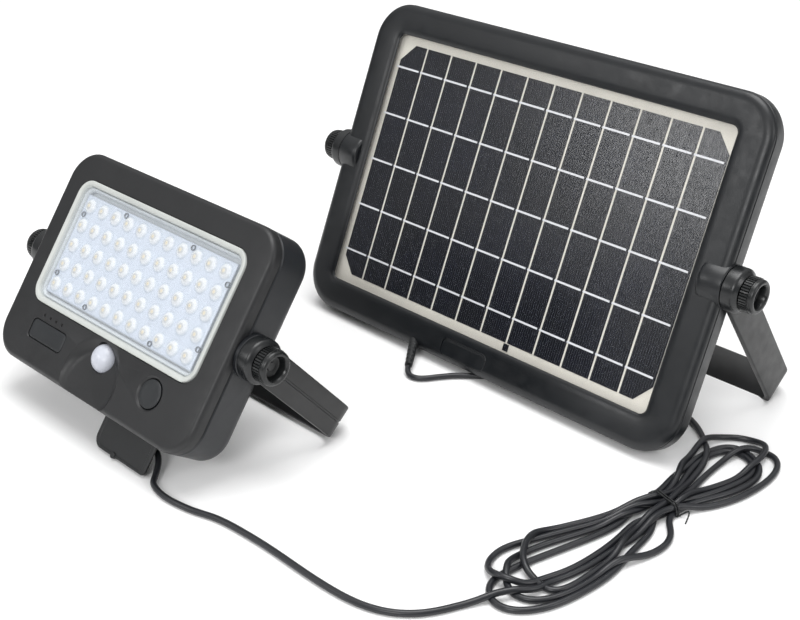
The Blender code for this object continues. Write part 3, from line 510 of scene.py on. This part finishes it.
def lead():
    route = list(LAMP_RUN) + HANK_IN
    for index, (height, loop) in enumerate(HANK):
        route += through_tie(index, index % 2 == 0)
        route += [(x, y, height) for x, y in loop]
    route += through_tie(len(HANK), True) + HANK_OUT + list(PANEL_RUN)
    line = settle(smooth(route, 4.0))
    fine = smooth([tuple(p) for p in line], 2.0)
    length = float(np.linalg.norm(np.diff(fine, axis=0), axis=1).sum()) * MM
    made = wire("lead", [tuple(p) for p in fine], CORD_RADIUS, "lead", sides=4)
    keep(made, "heads", "lead", "cord_lamp_run", "cord_hank", "cord_panel_run")

    section = [p for p in line
               if abs((Vector(p) - TIE).dot(TIE_ALONG)) < 2.2 and (Vector(p) - TIE).length < 25]
    flat = np.array([((Vector(p) - TIE).dot(TIE_ACROSS), p[2]) for p in section])
    ring = []
    for turn in range(2):
        for step in range(40):
            angle = 2 * math.pi * step / 40
            facing = np.array([math.cos(angle), math.sin(angle)])
            across, height = flat[np.argmax(flat @ facing)] + facing * (CORD_RADIUS + 0.45 + 0.1 * turn)
            p = TIE + TIE_ACROSS * across + TIE_ALONG * (1.5 * (turn + step / 40) - 1.5)
            ring.append((p.x, p.y, max(height, 0.5)))
    top = Vector(ring[-1])
    ends = [tuple(top + TIE_ACROSS * a + TIE_ALONG * b + Vector((0, 0, c)))
            for a, b, c in ((2.0, 2.0, 2.4), (4.4, 1.4, 3.8), (6.6, -1.2, 3.2), (8.2, -4.4, 1.0))]
    tie = wire("wire_tie", [tuple(p) for p in smooth(ring + ends, 0.8)], 0.45, "rubber", sides=2)
    keep(tie, "heads", "rubber", "cord_tie")
    return made, tie, length


# ---- lamp head -------------------------------------------------------------------------------------
WIDTH, HEIGHT, CORNER, MID = 184.6, 132.5, 19.0, (0.0, -10.0)
FACE, SEAM, BACK = 1.5, -6.2, -30.5
DOME_Y, DOME_RADIUS = -49.5, 8.6
BUTTON, KEY, KEY_SIZE = (50.2, -52.6), (-48.9, -54.2), (33.4, 11.6)
PLUG_X, PLUG_Z = 34.0, -22.4
SCOOP_TOP = -40.15                              # the scoop's wall stops this far down, clear of the rim


def case_ring(inset, z):
    return outline(WIDTH - 2 * inset, HEIGHT - 2 * inset, CORNER - inset, z, MID)


def lens_ring(inset, z):
    return outline(LENS_WIDTH - 2 * inset, LENS_HEIGHT - 2 * inset, LENS_CORNER - inset, z, (0, LENS_MID_Y))


def lamp_front():
    edge = [case_ring(inset, z) for z, inset in rounded((-1.9, 0.0), (FACE, 3.4), 7)]
    cover = loft("lamp_front", [case_ring(0.5, SEAM), case_ring(0, SEAM + 0.5)] + edge
                 + [lens_ring(-0.35, FACE), lens_ring(0, FACE - 0.35), lens_ring(0, -1.0),
                    case_ring(4.0, -1.0), case_ring(2.5, -2.5), case_ring(2.5, SEAM)],
                 "case", LAMP, ring=True)
    wall = turned("wall", [(-5.4, 0), (-5.4, 24.0), (-0.95, 30.0), (-0.95, 0)], None, LAMP, (0, -68, 0))
    trim = block("trim", (90, 60, 30), (0, SCOOP_TOP + 30, 0), None, LAMP)
    low = block("low", (90, 40, 30), (0, -93.5, 0), None, LAMP)
    carve(wall, trim, low)
    carve(cover, wall, operation="UNION")
    place = Matrix.Translation(Vector((0, -41.8, -4.3)) * MM)
    tipped = LAMP @ place @ Matrix.Rotation(math.radians(-8.2), 4, "X")
    scoop = turned("scoop", [(-0.4, 0), (-0.4, 18.5), (-0.1, 20.6), (0.7, 22.4), (2.1, 24.0), (3.9, 25.4),
                             (4.5, 26.0), (5.1, 27.0), (6.4, 30.0), (6.4, 0)], None, tipped,
                   (0, -25.4, 0), steps=96)
    holes = [scoop,
             turned("b", [(-9, 8.7), (0.35, 8.7), (0.9, 9.2), (1.6, 10.3), (3, 10.5)], None, LAMP,
                    (*BUTTON, 0)),
             turned("d", [(-9, DOME_RADIUS + 0.35), (3, DOME_RADIUS + 0.35)], None, LAMP, (0, DOME_Y, 0)),
             loft("k", [outline(KEY_SIZE[0] + 0.8 + 2 * g, KEY_SIZE[1] + 0.8 + 2 * g, 3.2 + g, z, KEY, 8)
                        for g, z in ((0, -9), (0, 1.1), (0.45, 1.6), (0.5, 3))], None, LAMP)]
    for index in range(4):
        holes.append(turned("p", [(-9, 0.95), (1.3, 0.95), (1.55, 1.15), (3, 1.2)], None, LAMP,
                            (KEY[0] + (index - 1.5) * 5.9, -44.7, 0), steps=20))
    for axis in ("X", "-X"):
        holes.append(turned("boss", [(80, 13.3), (100, 13.3)], None, LAMP, LAMP_PIVOT, axis=axis))
    carve(cover, *holes)
    keep(cover, "heads", "case", "lamp_front_cover")


def lamp_rear():
    shell = [case_ring(inset, z) for z, inset in reversed(rounded((BACK + 6.0, 0.35), (BACK, 6.0), 7))]
    cover = loft("lamp_rear", shell + [case_ring(0.1, SEAM - 1.4), case_ring(0.7, SEAM - 0.5),
                                       case_ring(2.2, SEAM - 0.5), case_ring(2.8, SEAM - 3.0)], "side", LAMP)
    hollow = [case_ring(6.0, BACK + 2.4), case_ring(2.9, BACK + 5.0), case_ring(2.9, SEAM + 1)]
    cutters = [loft("hollow", hollow, None, LAMP),
               block("socket", (12.4, 12, 10.4), (PLUG_X, -76.25, PLUG_Z), None, LAMP)]
    for sx in (-1, 1):
        for sy in (-1, 1):
            cutters.append(turned("sink", [(BACK - 2, 4.2), (BACK, 3.7), (BACK + 2.9, 3.3)], None, LAMP,
                                  (sx * (WIDTH / 2 - 10), MID[1] + sy * (HEIGHT / 2 - 10), 0), steps=28))
    for x in range(-48, 49, 12):
        cutters.append(loft("rib", [outline(5.0 + g, 84 + g, 2.5 + g / 2, z, (x, -8), 6)
                                    for g, z in ((0, BACK + 1.0), (0.8, BACK - 0.1))], None, LAMP))
    carve(cover, *cutters)
    for axis in ("X", "-X"):
        boss = turned("boss", [(WIDTH / 2 - 2.5, 13.0), (WIDTH / 2 + 2.0, 13.0), (WIDTH / 2 + 2.4, 12.6),
                               (WIDTH / 2 + 2.4, 3.3), (WIDTH / 2 - 2.5, 3.3)], None, LAMP, LAMP_PIVOT,
                      axis=axis, ring=True)
        carve(cover, boss, operation="UNION")
    keep(cover, "heads", "case", "lamp_rear_cover")


def lamp_window():
    rim = [lens_ring(inset, z) for inset, z in
           ((0.3, -1.0), (0.3, 1.8), (0.5, 2.3), (0.9, 2.55), (2.3, 2.5), (2.9, 2.2), (3.6, 1.2), (3.8,
                                                                                                   -1.0))]
    keep(loft("lens_bezel", rim, "rim", LAMP, ring=True), "heads", "rim", "lens_rim")
    keep(loft("window_pane", [lens_ring(4.1, 0.6), lens_ring(4.1, 1.4), lens_ring(4.3, 1.6)], "window", LAMP),
         "heads", "lens", "lens_window")
    frame_rings = [lens_ring(inset, z) for inset, z in
                   ((2.2, -3.4), (2.2, -1.2), (3.9, -1.2), (4.2, -0.3), (4.7, 0.0), (5.4, -0.6), (6.2, -2.3),
                    (6.3, -3.4))]
    keep(loft("reflector", frame_rings, "white", LAMP, ring=True), "heads", "white", "reflector_frame")
    bm = bmesh.new()
    half_x, half_y = 5.5 * LED_PITCH, 2.5 * LED_PITCH
    step = 1.05
    xs = np.arange(-half_x, half_x + 0.01, step)
    ys = np.arange(-half_y, half_y + 0.01, step)
    rows = []
    for y in ys:
        row = []
        for x in xs:
            cx = (math.floor((x + half_x - 1e-6) / LED_PITCH) + 0.5) * LED_PITCH - half_x
            cy = (math.floor((y + half_y - 1e-6) / LED_PITCH) + 0.5) * LED_PITCH - half_y
            r = math.hypot(x - cx, y - cy) / 3.9
            lift = 2.25 * math.sqrt(max(0.0, 1 - r * r)) if r < 1 else 0.0
            row.append(bm.verts.new(Vector((LED_SHIFT_X + x, y, -2.25 + min(lift, 2.1))) * MM))
        rows.append(row)
    for low, high in zip(rows, rows[1:]):
        for i in range(len(low) - 1):
            bm.faces.new((low[i], low[i + 1], high[i + 1], high[i]))
    plate = mesh_object("lens_plate", bm, LAMP, "lens", 60)
    solid = plate.modifiers.new("solid", "SOLIDIFY")
    solid.thickness, solid.offset = 0.9 * MM, -1
    keep(plate, "heads", "lens", "lens_array")
    for index, (x, y) in enumerate([(sx * px, sy * py) for px, py in ((31.3, 29.2), (67.3, 19.1))
                                    for sx in (-1, 1) for sy in (-1, 1)]):
        profile = [(-2.3, 1.8), (-0.9, 1.8), (-0.5, 1.6), (-0.5, 1.3), (-0.8, 1.1), (-2.3, 1.1)]
        ring = turned(f"lens_screw_{index + 1}", profile, "screw", LAMP, (x, y, 0), steps=24, ring=True)
        keep(ring, "heads", "steel")


def lamp_controls():
    dome = turned("motion_lens", [(-7.4, 10.0), (-6.0, 10.0), (-6.0, DOME_RADIUS), (-4.0, DOME_RADIUS)]
                  + [(-4.0 + 7.2 * math.sin(t), DOME_RADIUS * math.cos(t)) for t in
                     [math.pi / 2 * i / 14 for i in range(1, 14)]]
                  + [(3.2, 0), (2.2, 0), (0.4, 5.0), (-4.0, 7.3), (-7.4, 7.3)],
                  "dome", LAMP, (0, DOME_Y, 0), ring=True)
    keep(dome, "heads", "dome", "pir_dome")
    r = 8.25
    cap = turned("power_cap", [(-4.6, 0), (-4.6, 9.4), (-3.4, 9.4), (-3.4, r), (0.9, r), (1.2, r - 0.25),
                               (1.32, r - 0.6), (1.2, r - 2.6), (1.12, r - 4.5), (1.1, 0)],
                 "button", LAMP, (*BUTTON, 0))
    keep(cap, "power_button", "button", "power_button")
    key = loft("mode_key", [outline(KEY_SIZE[0] + 2 * g, KEY_SIZE[1] + 2 * g, 3.0 + g, z, KEY, 8)
                            for g, z in ((1.0, -4.2), (1.0, -3.2), (0, -3.2), (0, 0.7), (-0.15, 1.0),
                                         (-0.5, 1.2), (-1.6, 1.3), (-3.0, 1.2))], "button", LAMP)
    keep(key, "mode_button", "button", "mode_button")


def port():
    """Rubber flap with one large corner and a pull tab, and the plug with its ribbed sleeve."""
    top, x, z = -76.75, 31.3, -16.0
    shape = []
    for cx, cy, start, r in ((23.2, -1.0, 0, 0.8), (-23.0, -1.0, 90, 1.0), (-17.0, -13.2, 180, 7.0),
                             (21.4, -17.6, 270, 2.6)):
        for step in range(9):
            a = math.radians(start + 90 * step / 8)
            shape.append((cx + r * math.cos(a), cy + r * math.sin(a)))
    middle = Vector((0, -9))

    def ring_at(inset, height):
        made = []
        for px, py in shape:
            out = (Vector((px, py)) - middle).normalized() * inset
            made.append(Vector((x + px - out.x, top + py - out.y, z + height)))
        return made
    flap = loft("port_flap", [ring_at(0.5, -0.95), ring_at(0.1, -0.6), ring_at(0, 0), ring_at(0.15, 0.55),
                              ring_at(0.6, 0.9), ring_at(3.0, 0.95), ring_at(3.3, 0.75), ring_at(6, 0.75)],
                "rubber", LAMP)
    tab = turned("tab", [(-0.8, 1.6), (-0.5, 1.9), (1.2, 1.9), (1.5, 1.6)], None, LAMP,
                 (x - 4.5, top - 19.3, z), steps=28)
    carve(flap, tab, operation="UNION")
    keep(flap, "port_cover", "rubber", "port_cover")

    px, py, pz = PLUG_X, -82.2, PLUG_Z
    body = block("plug_body", (10.4, 9.6, 8.6), (px, py, pz), "rubber", LAMP, 1.6)
    pin = turned("plug_pin", [(-9, 2.7), (3, 2.7)], "steel", LAMP, (px, py + 5.5, pz), axis="-Y", steps=32)
    collar = turned("plug_collar", [(-3.4, 3.6), (1.0, 3.6)], "rubber", LAMP, (px, py + 5.5, pz), axis="-Y",
                    steps=32)
    profile = [(i, 3.4 - 0.083 * i - (0.35 if i % 3 == 2 else 0.0)) for i in range(13)]
    sleeve = turned("plug_sleeve", profile, "rubber", LAMP, (px, py - 0.6, pz), axis="X", steps=32)
    keep(body, "heads", "rubber", "dc_plug")
    for part in (pin, collar, sleeve):
        keep(part, "heads", "steel" if part is pin else "rubber")
    return [body, pin, collar, sleeve]


# ---- brackets and knobs ----------------------------------------------------------------------------
LAMP_ARM_X = 104.0                              # outer face of the lamp bracket's arms


def strap_section(width, thick, groove):
    """(out, across) points round a strap with soft edges and, if asked, a centre groove outside."""
    r, w, t = 0.9, width / 2, thick / 2
    points = []
    for so, sa, start in ((1, 1, 0), (-1, 1, 90), (-1, -1, 180), (1, -1, 270)):
        for step in range(4):
            a = math.radians(start + 90 * step / 3)
            points.append((so * (t - r) + r * math.cos(a), sa * (w - r) + r * math.sin(a)))
    if groove:
        points += [(t, -0.9), (t - 0.45, -0.5), (t - 0.45, 0.5), (t, 0.9)]
    return points


def strap(name, body, joint_place, arm_x, size, length, hole_x, groove, node):
    width, thick = size
    bend = 9.0
    mid = arm_x - thick / 2
    path = [(-mid, -4.0, -1.0, 0.0)]
    for side in (-1, 1):
        for step in range(13):
            turn = math.radians(90 * (step if side < 0 else 12 - step) / 12)
            ox, oz = side * math.cos(turn), -math.sin(turn)
            path.append((side * (mid - bend) + bend * ox, -(length - thick / 2 - bend) + bend * oz, ox, oz))
    path.append((mid, -4.0, 1.0, 0.0))
    section = strap_section(width, thick, groove)
    loops = [[Vector((x + k * ox, w, z + k * oz)) for k, w in section] for x, z, ox, oz in path]
    made = loft(name, loops, "strap", joint_place, sharp=40)
    cutters = []
    for side in (-1, 1):
        screw_hole = [(-length - 3, 4.4), (-length, 4.0), (-length + 1.4, 2.6), (-length + thick + 3, 2.6)]
        cutters.append(turned("h", screw_hole, None, joint_place, (side * hole_x, 0, 0), steps=36))
    carve(made, *cutters)
    keep(made, body, "case", node)


def hub(name, body, place, axis, inner, outer):
    """Round shoulder at the top of a bracket arm: seam, barrel, rounded step and a dark gap."""
    r = 13.0
    profile = [(inner, r - 0.5), (inner + 0.4, r), (inner + 1.1, r), (outer - 3.4, r), (outer - 2.5,
                                                                                        r - 0.15),
               (outer - 1.7, r - 0.6), (outer - 1.0, r - 1.4), (outer - 0.5, r - 2.2), (outer, r - 2.7)]
    profile += [(outer, 9.9), (outer - 1.2, 9.7), (outer - 1.2, 3.3), (inner, 3.3)]
    made = turned(name, profile, "hub", place, axis=axis, steps=96, ring=True)
    keep(made, body, "case")


def knob(name, body, head, location, axis, base, node):
    """Knurled thumb knob with a smooth rolled rim round a deep hollow."""
    r, teeth = 10.3, 40
    end = base + 8.6

    def ripple(angle, along, radius):
        if radius < 9.0 or not base + 0.3 <= along <= end - 3.4:
            return radius
        return radius - 0.75 * max(0.0, math.cos(teeth * angle)) ** 0.6

    profile = [(base - 20, 0), (base - 20, 2.9), (base, 2.9), (base, 8.6), (base + 0.2, 9.3), (base + 0.5, r),
               (base + 1.0, r)]
    profile += [(end - back, radius) for back, radius in
                ((3.8, r), (3.5, r), (3.3, 9.6), (2.9, 9.5), (2.5, 9.9), (1.6, 9.9), (0.8, 9.6), (0.2, 9.0),
                 (0, 8.2), (0.2, 7.4), (0.9, 6.8), (1.6, 6.5), (5.2, 5.9), (5.5, 5.4), (5.5, 2.6), (4.7, 2.4),
                 (4.7, 0))]
    made = turned(name, profile, "knob", head, location, axis, 320, ripple=ripple)
    keep(made, body, "knob", node)


# ---- panel head ------------------------------------------------------------------------------------
P_WIDTH, P_HEIGHT, P_CORNER, P_MID = 297.0, 208.0, 25.0, (0.0, -0.5)
CELL_PITCH, BUSBARS = 20.9, 31.35


def panel_ring(inset, z):
    return outline(P_WIDTH - 2 * inset, P_HEIGHT - 2 * inset, P_CORNER - inset, z, P_MID, 18)


def cable_relief():
    """Room that both panel covers leave for the lead, under the panel's low edge."""
    return block("relief", (54, 60, 8), (48.9, 66.4, 0.4), None, FLOOR)


def panel_case():
    side = [panel_ring(0.5, -9.0), panel_ring(0.1, -8.6), panel_ring(0, -8.2), panel_ring(0, -0.6),
            panel_ring(0.45, -0.25), panel_ring(0.45, 0.25), panel_ring(0.2, 0.6)]
    edge = [panel_ring(inset, z) for z, inset in rounded((1.0, 0.2), (4.6, 6.2), 8)]
    inner = [outline(w, h, c, z, (0, 0), 18) for w, h, c, z in
             ((263, 177, 9, 4.55), (259, 173, 7, 4.2), (256.4, 170.2, 5.6, 3.9), (255.4, 169.2, 5.2, 3.6),
              (253.8, 167.6, 4.5, 2.85))]
    body = loft("panel_bezel", side + edge + inner + [panel_ring(2.5, 2.85), panel_ring(2.5, -9.0)], "panel",
                PANEL, ring=True)
    recess = loft("recess", [outline(36.0 + g, 11.6 + g, 4.0 + g / 2, z, (-4, -95.2), 10)
                             for g, z in ((0, 3.9), (0, 4.3), (0.8, 5.2))], None, PANEL)
    carve(body, recess, cable_relief())
    for axis in ("X", "-X"):
        boss = turned("boss", [(133.0, 3.3), (133.0, 11.4), (133.3, 12.4), (134.0, 13.1), (135.0, 13.4),
                               (136.0, 13.5), (147.6, 13.5), (148.1, 13.2), (148.5, 12.8), (148.5, 3.3)],
                      None, PANEL, PANEL_PIVOT, axis=axis, ring=True, steps=96)
        carve(body, boss, operation="UNION")
    keep(body, "heads", "case", "panel_frame")
    keep(loft("badge_plate", [outline(35.4 - 2 * g, 11.0 - 2 * g, 3.7 - g, z, (-4, -95.2), 10)
                              for g, z in ((0, 3.95), (0, 4.3), (0.3, 4.5), (1.2, 4.5), (1.5, 4.38),
                                           (2.4, 4.38))],
              "panel", PANEL), "heads", "button", "panel_badge")


def panel_back():
    shell = [panel_ring(inset, z) for z, inset in reversed(rounded((-11.6, 1.4), (-14.0, 4.4), 6))]
    cover = loft("panel_rear", shell + [panel_ring(1.3, -9.7), panel_ring(1.6, -9.3), panel_ring(3.2, -9.3),
                                        panel_ring(3.4, -10.2)], "panel", PANEL)
    hollow = [panel_ring(6.0, -11.8), panel_ring(3.5, -10.4), panel_ring(3.5, -8.0)]
    cutters = [loft("hollow", hollow, None, PANEL), cable_relief()]
    for sx in (-1, 1):
        for sy in (-1, 1):
            cutters.append(turned("sink", [(-16, 4.2), (-14, 3.7), (-11.1, 3.3)], None, PANEL,
                                  (sx * 139.6, -0.5 + sy * 74.0, 0), steps=28))
    for axis in ("X", "-X"):
        cutters.append(turned("room", [(130, 13.9), (152, 13.9)], None, PANEL, PANEL_PIVOT, axis=axis))
    for w, h, c in ((272, 178, 14), (120, 70, 9)):
        groove = loft("groove", [outline(w + g, h + g, c, z, P_MID, 12)
                                 for g, z in ((0, -13.4), (0.8, -14.2))], None, PANEL)
        core = loft("core", [outline(w - 4 - g, h - 4 - g, c - 2, z, P_MID, 12)
                             for g, z in ((0, -13.2), (0.8, -14.3))], None, PANEL)
        carve(groove, core)
        cutters.append(groove)
    carve(cover, *cutters)
    keep(cover, "heads", "case", "panel_rear_cover")


def cells():
    """Twelve strips, each as long as a wafer, the outermost with the wafer's cut corners."""
    half_x, half_y, chamfer = (CELL_PITCH - 1.4) / 2, 78.4, 11.0
    for index in range(12):
        corners = []
        for sx, sy in ((1, 1), (-1, 1), (-1, -1), (1, -1)):
            if index == (11 if sx > 0 else 0):
                ends = [(half_x * sx, (half_y - chamfer) * sy), ((half_x - 0.9 * chamfer) * sx, half_y * sy)]
                corners += ends if sx * sy > 0 else ends[::-1]
            else:
                corners.append((half_x * sx, half_y * sy))
        x = (index - 5.5) * CELL_PITCH
        loops = [[Vector((x + cx, cy, z)) for cx, cy in corners] for z in (-0.74, -0.56)]
        keep(loft(f"cell_plate_{index + 1:02d}", loops, "cell", PANEL), "heads", "cell",
             f"cell_strip_{index + 1:02d}")


def ribbons():
    """Busbar ribbons across every strip, poking past its left side and short of its right, and the leads."""
    bm = bmesh.new()

    def strip(x0, x1, y0, y1, z0, z1):
        made = bmesh.ops.create_cube(bm, size=1.0)["verts"]
        bmesh.ops.scale(bm, vec=Vector((x1 - x0, y1 - y0, z1 - z0)) * MM, verts=made)
        bmesh.ops.translate(bm, vec=Vector(((x0 + x1) / 2, (y0 + y1) / 2, (z0 + z1) / 2)) * MM, verts=made)
    for column in range(12):
        x = (column - 5.5) * CELL_PITCH
        for bar in range(5):
            y = (bar - 2) * BUSBARS
            strip(x - 9.95 - 1.3, x + 9.95 - 1.9, y - 0.6, y + 0.6, -0.54, -0.40)
    bars = mesh_object("cell_ribbons", bm, PANEL, "ribbon")
    keep(bars, "heads", "steel")
    lead_out = block("string_lead", (4.2, 4.4, 0.1), (21.5, -81.2, -0.6), "cell", PANEL)
    keep(lead_out, "heads", "cell")


def boot():
    """Ribbed strain relief where the lead comes out from under the panel."""
    start, end = Vector((-19.6, 45.0, 8.2)), Vector((-3.4, 22.5, 4.1))
    turn = (end - start).to_track_quat("Z", "Y").to_matrix().to_4x4()
    length = (end - start).length
    profile = [(0, 2.9), (0, 3.3)]
    steps = 40
    for i in range(1, steps):
        part = i / steps
        radius = 3.3 - 0.85 * part
        if part > 0.25 and (i // 3) % 2:
            radius -= 0.5
        profile.append((part * length, radius))
    profile += [(length, 2.35), (length, 1.9)]
    made = turned("boot", profile, "rubber", Matrix.Translation(start * MM) @ turn, steps=40)
    return keep(made, "heads", "rubber", "cable_boot")


# ---- studio ----------------------------------------------------------------------------------------
def studio():
    world = bpy.data.worlds.new("studio")
    bpy.context.scene.world = world
    world.use_nodes = True
    nodes, links = world.node_tree.nodes, world.node_tree.links
    place = nodes.new("ShaderNodeTexCoord")
    split = nodes.new("ShaderNodeSeparateXYZ")
    ramp = nodes.new("ShaderNodeMapRange")
    for name, value in (("From Min", 0.05), ("From Max", 0.70), ("To Min", 0.08), ("To Max", 1.0)):
        ramp.inputs[name].default_value = value
    links.new(place.outputs["Generated"], split.inputs[0])
    links.new(split.outputs["Z"], ramp.inputs["Value"])
    links.new(ramp.outputs["Result"], nodes["Background"].inputs["Color"])
    nodes["Background"].inputs["Strength"].default_value = 0.80
    for name, spot, aim, size, power in (("key", (0.75, -1.7, 1.15), (0.0, 0.0, 0.08), 0.7, 13),
                                         ("front", (-0.95, -1.75, 1.05), (0.1, 0.0, 0.1), 0.6, 6),
                                         ("side", (1.8, 0.3, 0.9), (0.1, 0.0, 0.08), 0.7, 6),
                                         ("top", (0.0, 0.2, 2.2), (0.0, 0.0, 0.0), 1.6, 32)):
        data = bpy.data.lights.new(name, "AREA")
        data.shape, data.size, data.energy = "DISK", size, power
        light = bpy.data.objects.new(name, data)
        bpy.context.scene.collection.objects.link(light)
        light.location = spot
        light.rotation_euler = (Vector(aim) - Vector(spot)).to_track_quat("-Z", "Y").to_euler()
    floor = block("floor", (8000, 8000, 10), (0, 0, -5.0), None, FLOOR)
    look = Look("paper_floor", (0.92, 0.92, 0.92), 0.80)
    look.colour(look.ranged(look.noise(400, 2), 0, 1), (0.91, 0.91, 0.91), (0.93, 0.93, 0.93))
    floor.data.materials.append(look.material)
    bpy.context.scene.view_settings.view_transform = "Standard"


# ---- assembly --------------------------------------------------------------------------------------
CARRIED = {"lamp_seal": "rubber", "led_board": "white", "pir_sensor": "steel",
           "indicator_light_pipe": "pipe", "control_board": "board", "battery_holder": "case",
           "battery_cell_1": "wrap", "battery_cell_2": "wrap",
           "dc_socket": "knob", "panel_glass": "glass", "back_sheet": "sheet", "panel_seal": "rubber",
           "junction_box": "case"}
CARRIED.update({f"{head}_screw_{index}": "steel" for head in ("lamp", "panel") for index in range(1, 5)})

camera()
studio()
cord, cord_tie, cord_length = lead()
lamp_front()
lamp_rear()
lamp_window()
lamp_controls()
plug = port()
strap("lamp_strap", "lamp_bracket", LAMP_ARM, LAMP_ARM_X, (20.5, 4.0), 86.3, 32.0, True, "lamp_bracket")
strap("panel_strap", "panel_bracket", PANEL_ARM, 152.4, (22.5, 3.5), 117.6, 45.0, False, "panel_bracket")
for side, axis in (("left", "-X"), ("right", "X")):
    hub(f"lamp_hub_{side}", "lamp_bracket", LAMP_ARM, axis, WIDTH / 2 + 2.7, LAMP_ARM_X)
    hub(f"panel_hub_{side}", "panel_bracket", PANEL_ARM, axis, P_WIDTH / 2 + 0.4, 158.0)
    knob(f"lamp_dial_{side}", f"lamp_knob_{side}", LAMP, LAMP_PIVOT, axis, LAMP_ARM_X + 0.3,
         f"lamp_knob_{side}")
    knob(f"panel_dial_{side}", f"panel_knob_{side}", PANEL, PANEL_PIVOT, axis, 158.3, f"panel_knob_{side}")
panel_case()
panel_back()
cells()
ribbons()
relief = boot()
for node, look in CARRIED.items():
    data = frame["nodes"][node].data
    data.materials.clear()
    data.materials.append(LOOKS[look])
